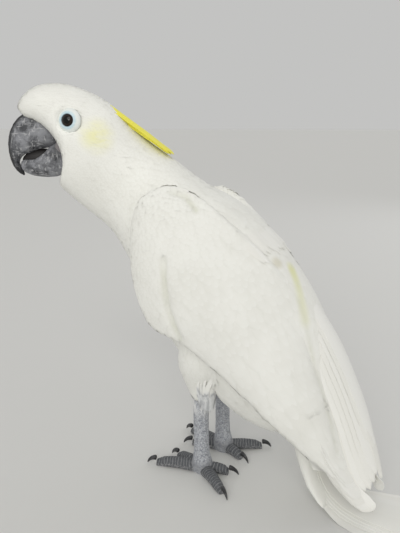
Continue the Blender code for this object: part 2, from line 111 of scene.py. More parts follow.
class Paint:
    # one material while it is being made, with the colour that it has so far
    def __init__(self, name, colour, roughness, **fixed):
        self.material = bpy.data.materials.new(name)
        self.material.use_nodes = True
        self.tree = self.material.node_tree
        self.shader = self.tree.nodes["Principled BSDF"]
        self.colour = colour
        self.shader.inputs["Roughness"].default_value = roughness
        for socket, value in fixed.items():
            self.shader.inputs[socket.replace("_", " ")].default_value = value

    def feed(self, socket, value):
        if isinstance(value, Wire):
            self.tree.links.new(value.socket, socket)
        elif socket.type == "RGBA" and len(value) == 3:
            socket.default_value = (*value, 1.0)
        else:
            socket.default_value = value

    def add(self, kind, settings, values, out=0):
        node = self.tree.nodes.new(kind)
        for name, value in settings.items():
            setattr(node, name, value)
        for name, value in values.items():
            self.feed(node.inputs[name], value)
        return Wire(self, node.outputs[out])

    def place(self):
        return self.add("ShaderNodeTexCoord", {}, {}, "Object")

    def attribute(self, name):
        return self.add("ShaderNodeAttribute", {"attribute_name": name}, {}, "Fac")

    def noise(self, scale, detail=3.0, rough=0.5, stretch=None):
        where = self.place()
        if stretch:
            where = self.add("ShaderNodeMapping", {}, {"Vector": where, "Scale": stretch})
        values = {"Vector": where, "Scale": scale, "Detail": detail, "Roughness": rough}
        return self.add("ShaderNodeTexNoise", {}, values)

    def near(self, centre, radius, soft):
        # 1 at centre, falling to 0 at radius
        values = {0: self.place(), 1: centre}
        away = self.add("ShaderNodeVectorMath", {"operation": "DISTANCE"}, values, "Value")
        return 1.0 - (away / radius).step(1.0 - soft, 1.0)

    def mix(self, mask, low, high):
        return self.add("ShaderNodeMix", {"data_type": "RGBA"}, {0: mask, 6: low, 7: high}, 2)

    def lay(self, mask, colour):
        # a colour over what is there, where the mask is 1
        self.colour = self.mix(mask, self.colour, colour)

    def finish(self, roughness=None):
        self.feed(self.shader.inputs["Base Color"], self.colour)
        if roughness is not None:
            self.feed(self.shader.inputs["Roughness"], roughness)
        return self.material


def middle(name):
    low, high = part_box(name)
    return (low + high) / 2


feet = (middle("shank_left") + middle("shank_right")) / 2     # both feet's middle, on the ground
feet.z = 0.0
eyeCentres = [middle("eye_" + hand) for hand in hands]
eyeMiddle = (eyeCentres[0] + eyeCentres[1]) / 2
headSide = (eyeCentres[0] - eyeCentres[1]).normalized()
headAhead = Vector((headSide.y, -headSide.x, 0.0))


def place(x, y, z):
    # millimetres from the feet's middle: to the bird's left, backwards, up
    return feet + Vector((x, y, z)) * mm


def headPlace(ahead, side, up):
    # millimetres from between the eyes, in the turned head's own directions
    return eyeMiddle + (headAhead * ahead + headSide * side + Vector((0, 0, up))) * mm


def eachOf(points, function, size):
    # a function's value at each point, in steps of the size
    return np.array([function(Vector(point) / size) for point in points])


def headFrame(points):
    # ahead, side and up of many places, in the head's own millimetres
    off = points - np.array(eyeMiddle)
    return np.stack([off @ np.array(headAhead), off @ np.array(headSide), off[:, 2]], 1) / mm


def blend(pair, share):
    # a share of the way between two rows of values
    return np.array(pair[0], float) * (1 - share) + np.array(pair[1], float) * share


def eased(values, low, high):
    # 0 below low, 1 above high, smooth between
    share = np.clip((values - low) / (high - low), 0, 1)
    return share * share * (3 - 2 * share)


def unit(values):
    return values / np.linalg.norm(values, axis=-1, keepdims=True)


def readAll(items, field, wide, kind=float):
    # the same field of every item, a row each
    found = np.zeros(len(items) * wide, kind)
    items.foreach_get(field, found)
    return found.reshape(-1, wide)


def pointsOf(mesh):
    return readAll(mesh.vertices, "co", 3)


def normalsOf(mesh):
    return readAll(mesh.vertex_normals, "vector", 3)


def setPoints(mesh, points):
    mesh.vertices.foreach_set("co", np.asarray(points).ravel())
    mesh.update()


def mark(mesh, name, values):
    # a value at each point, for the materials
    layer = mesh.attributes.new(name, "FLOAT", "POINT")
    layer.data.foreach_set("value", np.asarray(values, dtype=np.float32))


def meshOf(bm, name):
    mesh = bpy.data.meshes.new(name)
    bm.to_mesh(mesh)
    bm.free()
    return mesh


def objectOf(data, name):
    made = bpy.data.objects.new(name, data)
    scene.collection.objects.link(made)
    return made


def modified(piece, kind, **settings):
    # the piece with a modifier applied
    modifier = piece.modifiers.new("shaping", kind)
    for name, value in settings.items():
        setattr(modifier, name, value)
    old, shape = piece.data, piece.evaluated_get(bpy.context.evaluated_depsgraph_get())
    mesh = bpy.data.meshes.new_from_object(shape)
    piece.modifiers.clear()
    piece.data = mesh
    bpy.data.meshes.remove(old)
    return piece


view = {"from": (362.8, 196.9, 268.3), "look": (-0.8403, -0.4851, -0.2419), "lens": 37.8, "film": 36.0}
room = {"floor": (0.745, 0.742, 0.725), "floorSize": 60.0, "air": (0.70, 0.70, 0.69), "airStrength": 0.78}
# where each lamp stands and what it is turned to, in metres
# the sky is even all over the floor, so that far off the floor is as light as the air
lamps = {
    "sky": {"kind": "SUN", "from": (0.75, 0.25, 0.60), "to": (0, 0, 0.12), "power": 1.02,
            "colour": (1.0, 0.99, 0.96), "shape": {"angle": 0.7}},
    "spot": {"kind": "SPOT", "from": (0.95, 0.30, 0.50), "to": place(20, -105, 268), "power": 8.3,
             "colour": (1.0, 0.99, 0.95),
             "shape": {"spot_size": math.radians(16), "spot_blend": 1.0, "shadow_soft_size": 0.12}},
    "wall": {"kind": "AREA", "from": (-1.3, 0.5, 0.8), "to": (0, 0, 0.12), "power": 2.0,
             "colour": (0.95, 0.97, 1.0), "shape": {"size": 1.2}},
}


def makeCamera():
    camera = objectOf(bpy.data.cameras.new("camera"), "camera")
    camera.data.lens = view["lens"]
    camera.data.sensor_width = view["film"]
    camera.data.clip_start = 0.01
    camera.location = place(*view["from"])
    camera.rotation_mode = "QUATERNION"
    camera.rotation_quaternion = Vector(view["look"]).to_track_quat("-Z", "Y")
    scene.camera = camera


def makeLamp(name, lamp):
    light = bpy.data.lights.new(name, lamp["kind"])
    light.energy = lamp["power"]
    light.color = lamp["colour"]
    for setting, value in lamp["shape"].items():
        setattr(light, setting, value)
    made = objectOf(light, name)
    made.location = lamp["from"]
    made.rotation_mode = "QUATERNION"
    made.rotation_quaternion = (Vector(lamp["to"]) - made.location).to_track_quat("-Z", "Y")


def makeRoom():
    bm = bmesh.new()
    bmesh.ops.create_grid(bm, x_segments=2, y_segments=2, size=room["floorSize"])
    ground = objectOf(meshOf(bm, "floor"), "floor")
    ground.data.materials.append(Paint("floor", room["floor"], 0.8).finish())
    world = bpy.data.worlds.new("air")
    world.use_nodes = True
    air = world.node_tree.nodes["Background"]
    air.inputs["Color"].default_value = (*room["air"], 1.0)
    air.inputs["Strength"].default_value = room["airStrength"]
    scene.world = world
    for name, lamp in lamps.items():
        makeLamp(name, lamp)
    scene.view_settings.view_transform = "Standard"


flesh = ["head", "neck", "trunk", "thigh_left", "thigh_right"]
wings = {hand: [f"wing_{hand}_coverts", f"wing_{hand}_secondaries"] for hand in hands}
form = {
    "voxel": 1.5 * mm,
    "smooth": 6,
    "merge": 0.01 * mm,
    "swell": 0.45 * mm,      # closes the cuts between the solids
    "tailRoot": 0.25,        # part of the tail's reach that is flesh
    "sink": 0.32,            # the skin lies no deeper than this part of the thickness there
    "thickest": 12 * mm,     # where the thickness is measured at all
}


def joined(names, swell, tailEnd=None):
    # merged copies of the solids in one mesh, swollen a little, the tail only as far back as its end
    whole = bmesh.new()
    for name in names:
        bm = bmesh.new()
        bm.from_mesh(nodes[name].data)
        bmesh.ops.remove_doubles(bm, verts=bm.verts, dist=form["merge"])
        bm.normal_update()
        for vert in bm.verts:
            vert.co += vert.normal * swell
        if name == "tail" and tailEnd is not None:
            geometry = [*bm.verts, *bm.edges, *bm.faces]
            bmesh.ops.bisect_plane(bm, geom=geometry, plane_co=(0, tailEnd, 0), plane_no=(0, 1, 0),
                                   clear_outer=True)
            bmesh.ops.holes_fill(bm, edges=[edge for edge in bm.edges if edge.is_boundary])
        mesh = meshOf(bm, name + "_copy")
        whole.from_mesh(mesh)
        bpy.data.meshes.remove(mesh)
    return whole


def voxelForm(name, names, look, tailEnd=None):
    # the solids run together into one closed form
    piece = objectOf(meshOf(joined(names, look["swell"], tailEnd), name), name)
    modified(piece, "REMESH", mode="VOXEL", voxel_size=look["voxel"])
    return modified(piece, "SMOOTH", factor=0.5, iterations=look["smooth"])


# soft folds pressed into the folded wings: a line (mm from the feet, left side), depth and width (mm)
folds = [
    {"line": [(54, -11, 180), (54, -10, 160), (54, -8, 146), (52.5, -4, 134), (51, 0, 124)],
     "depth": 3.0, "width": 2.4},
    {"line": [(40, -12, 226), (36, -3, 222), (36, 5, 213)], "depth": 2.0, "width": 2.8},
    {"line": [(14, 73, 155), (19, 82, 133), (22, 89, 112), (22, 97, 92), (25, 106, 66), (25, 110, 52)],
     "depth": 1.7, "width": 2.0},
]


def foldDepth(points):
    # how deep the folds of both wings are at each point
    depth = np.zeros(len(points))
    for fold in folds:
        for side in sideOf.values():
            line = np.array([place(x * side, y, z) for x, y, z in fold["line"]])
            gap = np.full(len(points), np.inf)
            for a, b in zip(line[:-1], line[1:]):
                share = np.clip((points - a) @ (b - a) / ((b - a) @ (b - a)), 0, 1)
                gap = np.minimum(gap, np.linalg.norm(points - a - share[:, None] * (b - a), axis=1))
            depth += fold["depth"] * mm * np.exp(-(gap / (fold["width"] * mm)) ** 2)
    return depth


def pressed(piece):
    points, normals = pointsOf(piece.data), normalsOf(piece.data)
    setPoints(piece.data, points - normals * foldDepth(points)[:, None])
    return piece


def treeOf(mesh):
    polygons = [tuple(face.vertices) for face in mesh.polygons]
    return BVHTree.FromPolygons([vert.co for vert in mesh.vertices], polygons)


class Whose:
    # tells which solid lies nearest to a point
    def __init__(self, names):
        verts, faces, self.owner = [], [], []
        for name in names:
            start = len(verts)
            mesh = nodes[name].data
            verts.extend(vert.co for vert in mesh.vertices)
            for face in mesh.polygons:
                faces.append(tuple(start + k for k in face.vertices))
                self.owner.append(name)
        self.tree = BVHTree.FromPolygons(verts, faces)

    def __call__(self, point):
        return self.owner[self.tree.find_nearest(point)[2]]


print("stage: form")
tailLow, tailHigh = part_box("tail")
tailEnd = tailLow.y + (tailHigh.y - tailLow.y) * form["tailRoot"]
everything = flesh + wings["left"] + wings["right"] + ["tail"]
forms = {
    "whole": pressed(voxelForm("whole", everything, form, tailEnd)),
    "body": voxelForm("body", flesh + ["tail"], form),
}
for hand in hands:
    parts = [*wings[hand], f"wing_{hand}_primaries"]
    forms["wing_" + hand] = pressed(voxelForm("wing_" + hand, parts, form))
wholeTree = treeOf(forms["whole"].data)
whose = Whose(everything + ["wing_left_primaries", "wing_right_primaries"])


# anchors: region, place (mm from the feet), lie of the feathers, length, width, spacing, depth (mm)
bodyAnchors = [
    ((58, -146, 274), (-0.35, 0.75, 0.25), 2.6, 1.5, 0.75, 0.5),
    ((40, -118, 296), (-0.45, 0.85, -0.1), 3.4, 1.8, 0.85, 0.6),
    ((50, -100, 270), (-0.45, 0.8, -0.35), 4.0, 2.0, 0.95, 0.8),
    ((50, -108, 240), (-0.4, 0.75, -0.6), 4.5, 2.2, 1.0, 0.9),
    ((22, -85, 262), (-0.4, 0.7, -0.55), 6.0, 3.0, 1.3, 0.9),
    ((20, -95, 215), (-0.3, 0.6, -0.7), 8.0, 4.0, 1.8, 1.2),
    ((0, -45, 240), (-0.1, 0.75, -0.6), 11.0, 5.5, 2.3, 1.1),
    ((0, -72, 185), (0.0, 0.55, -0.8), 12.0, 6.0, 2.5, 1.5),
    ((0, 10, 205), (0.0, 0.72, -0.7), 18.0, 9.0, 3.6, 1.0),
    ((0, -30, 120), (0.0, 0.55, -0.83), 16.0, 8.0, 3.4, 1.8),
    ((0, 65, 150), (0.0, 0.55, -0.83), 22.0, 10.0, 4.2, 0.9),
    ((0, 15, 60), (0.0, 0.8, -0.55), 17.0, 8.0, 3.4, 2.0),
    ((0, 95, 90), (0.0, 0.3, -0.95), 24.0, 10.0, 4.4, 0.9),
    ((0, 75, 45), (0.0, 0.75, -0.65), 22.0, 9.0, 4.0, 1.6),
    ((0, 125, 15), (0.0, 0.95, -0.3), 30.0, 11.0, 4.6, 0.9),
]
wingAnchors = [
    ((45, -25, 225), (0.1, 0.35, -0.9), 7.0, 4.5, 1.9, 1.2),
    ((49, -40, 200), (0.0, 0.15, -0.99), 6.0, 4.0, 1.7, 1.0),
    ((51, -40, 168), (0.0, 0.22, -0.97), 7.0, 4.5, 1.9, 1.0),
    ((51, -33, 142), (0.0, 0.50, -0.87), 8.0, 5.0, 2.1, 1.0),
    ((50, -18, 126), (0.0, 0.85, -0.53), 10.0, 6.0, 2.4, 1.0),
    ((49, 6, 118), (0.0, 0.92, -0.40), 16.0, 7.5, 2.8, 0.9),
    ((48, -5, 190), (0.05, 0.55, -0.83), 11.0, 6.5, 2.6, 0.9),
    ((30, 25, 205), (0.0, 0.62, -0.78), 14.0, 8.0, 3.2, 0.8),
    ((50, 5, 150), (0.0, 0.6, -0.8), 16.0, 8.0, 3.4, 0.9),
    ((45, 25, 165), (-0.05, 0.6, -0.8), 18.0, 9.0, 3.8, 0.9),
    ((48, 35, 115), (-0.05, 0.62, -0.78), 28.0, 10.0, 4.6, 0.9),
    ((25, 80, 140), (-0.05, 0.5, -0.86), 34.0, 10.0, 4.8, 0.8),
    ((45, 80, 85), (-0.12, 0.58, -0.81), 44.0, 12.0, 6.0, 0.8),
    ((35, 108, 50), (-0.15, 0.6, -0.79), 48.0, 12.0, 6.5, 0.8),
]
thighAnchors = [
    ((25, 8, 105), (0.0, 0.25, -0.97), 12.0, 5.0, 2.2, 1.6),
    ((23, 5, 88), (0.0, 0.12, -0.99), 10.0, 3.0, 1.5, 1.1),
    ((18, 3, 66), (0.0, 0.08, -1.0), 14.0, 1.8, 1.1, 0.7),
]


class Anchors:
    # blends the anchors' values by their distance
    def __init__(self, rows, side):
        mirror = np.array([side, 1, 1])
        self.places = np.array([place(*row[0]) for row in rows])
        if side < 0:
            self.places[:, 0] = 2 * feet.x - self.places[:, 0]
        self.lies = np.array([row[1] for row in rows]) * mirror
        self.sizes = np.array([row[2:] for row in rows]) * mm

    def __call__(self, points):
        gap = np.linalg.norm(points[:, None] - self.places[None], axis=2)
        weight = 1 / (gap + 2 * mm) ** 4
        weight /= weight.sum(1, keepdims=True)
        return weight @ self.lies, weight @ self.sizes


fields = {"body": Anchors(bodyAnchors, 1)}
for hand, side in sideOf.items():
    fields["wing_" + hand] = Anchors(wingAnchors, side)
    fields["thigh_" + hand] = Anchors(thighAnchors, side)


def regionOf(name):
    if name.startswith("wing"):
        return name[:name.rindex("_")]
    return name if name.startswith("thigh") else "body"


def fieldAt(points, regions):
    lies = np.zeros((len(points), 3))
    sizes = np.zeros((len(points), 4))
    for region, field in fields.items():
        mine = regions == region
        if mine.any():
            lies[mine], sizes[mine] = field(points[mine])
    return lies, sizes


def makeSkin():
    # the whole form, drawn in by the depth of the coat
    mesh = forms["whole"].data.copy()
    points, normals = pointsOf(mesh), normalsOf(mesh)
    regions = np.array([regionOf(whose(Vector(point))) for point in points])
    depth = fieldAt(points, regions)[1][:, 3]
    for k, (point, normal) in enumerate(zip(points, normals)):
        inwards = -Vector(normal)
        across = wholeTree.ray_cast(Vector(point) + inwards * 0.1 * mm, inwards, form["thickest"])[3]
        if across is not None:
            depth[k] = min(depth[k], form["sink"] * across)
    setPoints(mesh, points - normals * depth[:, None])
    made = modified(objectOf(mesh, "skin"), "SMOOTH", factor=0.5, iterations=3)
    made.data.shade_smooth()
    return made


# the unwrap that the bake uses; a feather's is a small patch of the skin's
bake = {"angle": 66, "margin": 0.003, "patch": 0.003}


def unwrap(piece):
    for layer in list(piece.data.uv_layers):
        piece.data.uv_layers.remove(layer)
    piece.data.uv_layers.new(name="OFBake")
    for other in scene.objects:
        other.select_set(False)
    piece.select_set(True)
    bpy.context.view_layer.objects.active = piece
    bpy.ops.object.mode_set(mode="EDIT")
    bpy.ops.mesh.select_all(action="SELECT")
    bpy.ops.uv.smart_project(angle_limit=math.radians(bake["angle"]), island_margin=bake["margin"])
    bpy.ops.object.mode_set(mode="OBJECT")


def unwrapPlaces(mesh):
    # middle of every face on the unwrap
    corners = readAll(mesh.uv_layers["OFBake"].uv, "vector", 2)
    starts = readAll(mesh.polygons, "loop_start", 1, int)[:, 0]
    return np.add.reduceat(corners, starts, axis=0) / readAll(mesh.polygons, "loop_total", 1, int)


print("stage: skin")
skin = makeSkin()
unwrap(skin)
skinTree = treeOf(skin.data)
skinPlaces = unwrapPlaces(skin.data)


class Surface:
    # a mesh to walk on, with normals smoothed over it
    def __init__(self, mesh, rounds=4):
        self.tree = treeOf(mesh)
        normals = normalsOf(mesh)
        a, b = readAll(mesh.edges, "vertices", 2, int).T
        for _ in range(rounds):
            sums = normals.copy()
            np.add.at(sums, a, normals[b])
            np.add.at(sums, b, normals[a])
            normals = unit(sums)
        self.normals = [Vector(sum(normals[k] for k in face.vertices)).normalized()
                        for face in mesh.polygons]

    def nearest(self, point):
        found, _, face, _ = self.tree.find_nearest(point)
        return found, self.normals[face]

    def hug(self, points, outs, reach):
        # points drawn onto the surface, with the normals there, where it is near and faces alike, or touches
        flat, normals = points.reshape(-1, 3).copy(), outs.reshape(-1, 3).copy()
        for k, point in enumerate(flat.tolist()):
            found, normal = self.nearest(Vector(point))
            gap = (found - Vector(point)).length
            if gap < reach and (gap < softness["touch"] or normal.dot(Vector(normals[k])) > 0.2):
                flat[k], normals[k] = found, normal
        return flat.reshape(points.shape), normals.reshape(points.shape)

    def walk(self, root, heading, length, steps, turn=0.6):
        # places, normals and headings of a line over the surface, straight on past an edge
        spot, out = self.nearest(Vector(root))
        ahead = Vector(heading)
        line = []
        for _ in range(steps + 1):
            ahead = (ahead - out * ahead.dot(out)).normalized()
            line.append((spot, out, ahead))
            goal = spot + ahead * (length / steps)
            found, normal = self.nearest(goal)
            if normal.dot(out) > turn and (found - goal).length < length / steps:
                spot, out = found, normal
            else:
                spot = goal
        return line


class Guide:
    # a form that feathers are laid on, and the solid that each of its triangles is nearest to
    def __init__(self, mesh):
        self.surface = Surface(mesh)
        mesh.calc_loop_triangles()
        self.corners = pointsOf(mesh)[readAll(mesh.loop_triangles, "vertices", 3, int)]
        sides = self.corners[:, 1:] - self.corners[:, :1]
        self.areas = np.linalg.norm(np.cross(sides[:, 0], sides[:, 1]), axis=1)
        spots = [Vector(spot) for spot in self.corners.mean(1)]
        buried = [wholeTree.find_nearest(spot)[3] > softness["buried"] for spot in spots]
        self.owners = np.array(["buried" if deep else whose(spot) for deep, spot in zip(buried, spots)])

    def scatter(self, names, tries):
        # random places on the named solids' part, no nearer to each other than the spacing there
        weights = self.areas * np.isin(self.owners, names)
        picked = rng.choice(len(weights), size=tries, p=weights / weights.sum())
        u, v = rng.random((2, tries, 1))
        flip = u + v > 1
        u, v = np.where(flip, 1 - u, u), np.where(flip, 1 - v, v)
        a, b, c = (self.corners[picked, k] for k in range(3))
        found = a + (b - a) * u + (c - a) * v
        regions = np.array([regionOf(owner) for owner in self.owners[picked]])
        lies, sizes = fieldAt(found, regions)
        taken = thinned(found, sizes[:, 2])
        return found[taken], lies[taken], sizes[taken]


def thinned(places, gaps):
    # the numbers of the places that no place taken earlier is nearer to than their own gap
    cells = np.floor(places / gaps.max()).astype(int).tolist()
    around = list(itertools.product((-1, 0, 1), repeat=3))
    grid, taken = {}, []
    for k, ((x, y, z), (i, j, m), limit) in enumerate(zip(places.tolist(), cells, (gaps * gaps).tolist())):
        cellsNear = [grid[key] for di, dj, dm in around if (key := (i + di, j + dj, m + dm)) in grid]
        if all((a - x) ** 2 + (b - y) ** 2 + (c - z) ** 2 >= limit for cell in cellsNear for a, b, c in cell):
            grid.setdefault((i, j, m), []).append((x, y, z))
            taken.append(k)
    return taken


def walks(surface, roots, headings, lengths, steps):
    lines = [surface.walk(*each, steps) for each in zip(roots, headings, lengths)]
    found = np.array([[[*spot, *out, *ahead] for spot, out, ahead in line] for line in lines])
    return found[..., :3], found[..., 3:6], found[..., 6:]


contour = [(0.0, 0.4), (0.25, 0.8), (0.5, 1.0), (0.75, 0.95), (0.93, 0.6)]     # half width along a feather


def sharesOf(rows, crowd):
    # rows along a feather, closer together towards its end
    return 1 - (1 - np.linspace(0, 1, rows + 1)) ** crowd


def widthAt(shares, outline):
    along, wide = zip(*outline)
    return np.interp(shares, along, wide)


def vaneMesh(name, body, ends):
    # four-sided faces between a feather's rows, three-sided ones from the last row to its end
    count, rows, wide = body.shape[:3]
    points = np.concatenate([body.reshape(count, -1, 3), ends[:, None]], axis=1)
    grid = np.arange(rows * wide).reshape(rows, wide)
    here, after = grid[:-1, :-1], grid[1:, :-1]
    quads = np.stack([here + 1, here, after, after + 1], 2).reshape(-1, 4)
    fans = np.stack([grid[-1, 1:], grid[-1, :-1], np.full(wide - 1, rows * wide)], 1)
    shift = np.arange(count)[:, None, None] * points.shape[1]
    polygons = (quads + shift).reshape(-1, 4).tolist() + (fans + shift).reshape(-1, 3).tolist()
    mesh = bpy.data.meshes.new(name)
    mesh.from_pydata(points.reshape(-1, 3), [], polygons)
    return mesh


def headingsOf(spots, outs):
    aheads = np.gradient(spots, axis=1)
    return unit(aheads - outs * (aheads * outs).sum(2, keepdims=True))


def vanes(name, lines, widths, look, surfaces=()):
    # one mesh of many feathers: rows along each, columns across, and a point at the end
    # lines: places, normals and maybe headings along each; a surface comes with the feathers bent round it
    spots, outs = lines[:2]
    aheads = lines[2] if len(lines) > 2 else headingsOf(spots, outs)
    count, rows, wide = spots.shape[0], spots.shape[1] - 1, look["columns"]
    depths = np.broadcast_to(look["sunk"], count)
    shares = sharesOf(rows, look.get("crowd", 1.0))
    columns = np.linspace(-1, 1, wide)
    across = unit(np.cross(outs, aheads))
    half = widths[:, None] / 2 * widthAt(shares, look["outline"])[None]
    frayed = 1 + look["fray"] * rng.standard_normal((count, rows + 1, 1))
    side = (half[..., None] * frayed) * columns                     # count, rows + 1, columns
    bowed = np.clip((shares - look["bowFrom"]) / (1 - look["bowFrom"]), 0, 1) ** 2
    rise = -depths[:, None, None] * ((1 - shares) ** look["sink"] + look["bow"] * bowed)[None, :, None]
    rise = rise + look["arch"] * widths[:, None, None] * (1 - columns[None, None] ** 2)
    if "lift" in look:
        rise = rise + look["lift"][:, None, None]
    body = spots[:, :-1, None] + across[:, :-1, None] * side[:, :-1, :, None]
    normals = np.repeat(outs[:, :-1, None], wide, axis=2)
    for surface, mine in surfaces:
        body[mine], normals[mine] = surface.hug(body[mine], normals[mine], look["reach"])
    body = body + normals * rise[:, :-1, :, None]
    ends = spots[:, -1] + outs[:, -1] * rise[:, -1].mean(1)[:, None]
    ends += across[:, -1] * (look["fray"] * widths * rng.standard_normal(count))[:, None]
    if "floor" in look:                                             # the least height of each feather
        body[..., 2] = np.maximum(body[..., 2], look["floor"][:, None, None])
        ends[:, 2] = np.maximum(ends[:, 2], look["floor"])
    mesh = vaneMesh(name, body, ends)

    # every feather has the skin's colours at its root, from a small patch of the unwrap
    u = np.append(np.tile(columns, rows), 0.0) / 2 + 0.5
    v = np.append(np.repeat(shares[:-1], wide), 1.0)
    roots = np.array([skinPlaces[skinTree.find_nearest(Vector(spot))[2]] for spot in spots[:, 0]])
    patch = roots[:, None] + (np.stack([u, v], 1)[None] - 0.5) * bake["patch"]
    corners = readAll(mesh.loops, "vertex_index", 1, int)[:, 0]
    mesh.uv_layers.new(name="OFBake").uv.foreach_set("vector", patch.reshape(-1, 2)[corners].ravel())
    # darkest at a feather's sides, for painted shade along its edges
    mark(mesh, "sides", np.tile(np.abs(u * 2 - 1) * np.clip(v * 3 - 1, 0, 1), count))
    mark(mesh, "tips", np.tile(np.clip(v * 2 - 1, 0, 1) ** 2, count))
    mark(mesh, "tone", np.repeat(rng.random(count), len(u)))

    mesh.shade_smooth()
    if not look["thick"]:
        flat = np.concatenate([normals.reshape(count, -1, 3), outs[:, -1:]], axis=1).reshape(-1, 3)
        soft = unit(normalsOf(mesh) * (1 - look["smooth"]) + flat * look["smooth"])
        mesh.normals_split_custom_set_from_vertices(soft)
        return objectOf(mesh, name)
    piece = modified(objectOf(mesh, name), "SOLIDIFY", thickness=look["thick"], offset=-1)
    piece.data.set_sharp_from_angle(angle=math.radians(50))
    return piece


everyFeather = slice(None)


def spun(headings, outs, angles):
    # headings turned about the normals
    side = np.cross(outs, headings)
    return headings * np.cos(angles)[:, None] + side * np.sin(angles)[:, None]


thighCoat = {"guide": "body", "tries": 16000, "columns": 3, "rows": 5}
# above a height a wing's coat lies smooth on the back, where it's on the back's side of a sloping plane
wingCoat = {"tries": 26000, "columns": 5, "rows": 8, "above": 55 * mm, "smoothAbove": 95 * mm,
            "plane": (0, 30, 160), "slope": (0.0, 0.78, 0.62), "inner": -0.25}
coats = {
    "plumage_head": {"guide": "body", "nodes": ["head"], "tries": 90000, "columns": 3, "rows": 4},
    "plumage_neck": {"guide": "body", "nodes": ["neck"], "tries": 50000, "columns": 3, "rows": 5},
    "plumage_trunk": {"guide": "body", "nodes": ["trunk", "tail"], "tries": 30000, "columns": 5, "rows": 6,
                      "above": 60 * mm},
    **{"plumage_thigh_" + hand: {**thighCoat, "nodes": ["thigh_" + hand]} for hand in hands},
    **{"coverts_" + hand: {**wingCoat, "guide": "wing_" + hand, "nodes": wings[hand]} for hand in hands},
}
softness = {"outline": contour, "fray": 0.03, "sink": 1.7, "bow": 0.15, "bowFrom": 0.55, "arch": 0.02,
            "smooth": 0.85, "thick": 0.0, "reach": 5 * mm, "touch": 1.5 * mm, "buried": 3 * mm,
            "aroundEye": 8.9 * mm, "stray": 0.10, "vary": (0.85, 1.15), "depth": 0.95}


def makeCoat(name, coat):
    guide, onWing = guides[coat["guide"]], coat["guide"] != "body"
    roots, lies, sizes = guide.scatter(coat["nodes"], coat["tries"])
    outs = np.array([guide.surface.nearest(Vector(root))[1] for root in roots])
    clear = roots[:, 2] > coat.get("above", 0.0)
    for centre in eyeCentres:
        clear &= np.linalg.norm(roots - np.array(centre), axis=1) > softness["aroundEye"]
    if onWing:
        # a wing's inner face is left bare where it hangs free of the body
        side = sideOf[name.split("_")[1]]
        clear &= (outs[:, 0] * side > coat["inner"]) | (roots[:, 2] > coat["smoothAbove"])
    roots, lies, sizes, outs = roots[clear], lies[clear], sizes[clear], outs[clear]
    count, steps = len(roots), coat["rows"] - 1
    lies = spun(lies, outs, rng.normal(0, softness["stray"], count))
    lengths = sizes[:, 0] * rng.uniform(*softness["vary"], count)
    spots, outs, aheads = walks(guide.surface, roots, lies, lengths, steps)
    surfaces = [(guide.surface, everyFeather)]
    if onWing:
        # the upper edge of a wing lies smooth on the back, the others stand proud
        back = guides["whole"].surface
        upper = (roots - np.array(place(*coat["plane"]))) @ np.array(coat["slope"]) > 0
        upper &= roots[:, 2] > coat["smoothAbove"]
        spots[upper], outs[upper], aheads[upper] = \
            walks(back, roots[upper], lies[upper], lengths[upper], steps)
        surfaces = [(guide.surface, ~upper), (back, upper)]
    widths = sizes[:, 1] * rng.uniform(*softness["vary"], count)
    look = {**softness, **coat, "sunk": sizes[:, 3] * softness["depth"]}
    made = vanes(name, (spots, outs, aheads), widths, look, surfaces)
    print(name, count, "feathers", sum(len(face.vertices) - 2 for face in made.data.polygons), "triangles")
    return made


print("stage: coat")
guides = {name: Guide(made.data) for name, made in forms.items()}
feathered = [makeCoat(name, coat) for name, coat in coats.items()]

# stations down a folded wing: its upper edge and its lower edge (mm from the feet, left side)
wingEdges = np.array([
    ((40, -20, 228), (46, -31, 219)),
    ((33, -2, 229), (50, -37, 182)),
    ((26, 28, 208), (51, -28, 138)),
    ((19, 63, 175), (50, 2, 120)),
    ((15, 90, 126), (49, 46, 96)),
    ((13, 108, 77), (45, 83, 66)),
    ((10, 117, 50), (38, 101, 49)),
    ((7, 126, 26), (30, 116, 32)),
    ((5, 134, 10), (20, 130, 15)),
    ((7, 142, 4), (11, 141, 6)),
], float)
wingOut = {"way": (0.86, 0.33, 0.40), "bulge": 0.15, "over": 1.0}     # how its outer face swells (mm)
blade = [(0.0, 0.35), (0.2, 0.8), (0.5, 1.0), (0.8, 0.96), (0.93, 0.74), (0.98, 0.42), (1.0, 0.1)]
longLook = {"outline": blade, "fray": 0.012, "sink": 1.5, "bow": 0.0, "bowFrom": 0.5, "arch": 0.02,
            "smooth": 0.0, "columns": 9, "crowd": 1.7, "thick": 0.35 * mm, "reach": 7 * mm, "draw": 12 * mm,
            "sunk": 3 * mm}


def evened(values, rounds):
    for _ in range(rounds):
        inner = (values[:, :-2] + 2 * values[:, 1:-1] + values[:, 2:]) / 4
        values = np.concatenate([values[:, :1], inner, values[:, -1:]], axis=1)
    return values


def drawn(surface, paths):
    # rough paths drawn onto a surface, with the normals there; past it they go on free
    spots, outs = paths.copy(), np.zeros_like(paths)
    for i, path in enumerate(paths):
        out = None
        for j, point in enumerate(path):
            found, normal = surface.nearest(Vector(point))
            if out is None or (found - Vector(point)).length < longLook["draw"]:
                spots[i, j], out = found, normal
            outs[i, j] = out
    return evened(spots, 5), unit(evened(outs, 8))


def wingPlace(along, across, side):
    # a rough place just over the wing's outer face
    low = min(int(along), len(wingEdges) - 2)
    upper, lower = wingEdges[low] + (wingEdges[low + 1] - wingEdges[low]) * (along - low)
    swell = wingOut["bulge"] * np.linalg.norm(lower - upper) * math.sin(math.pi * across) + wingOut["over"]
    x, y, z = upper + (lower - upper) * across + np.array(wingOut["way"]) * swell
    return np.array(place(x * side, y, z))


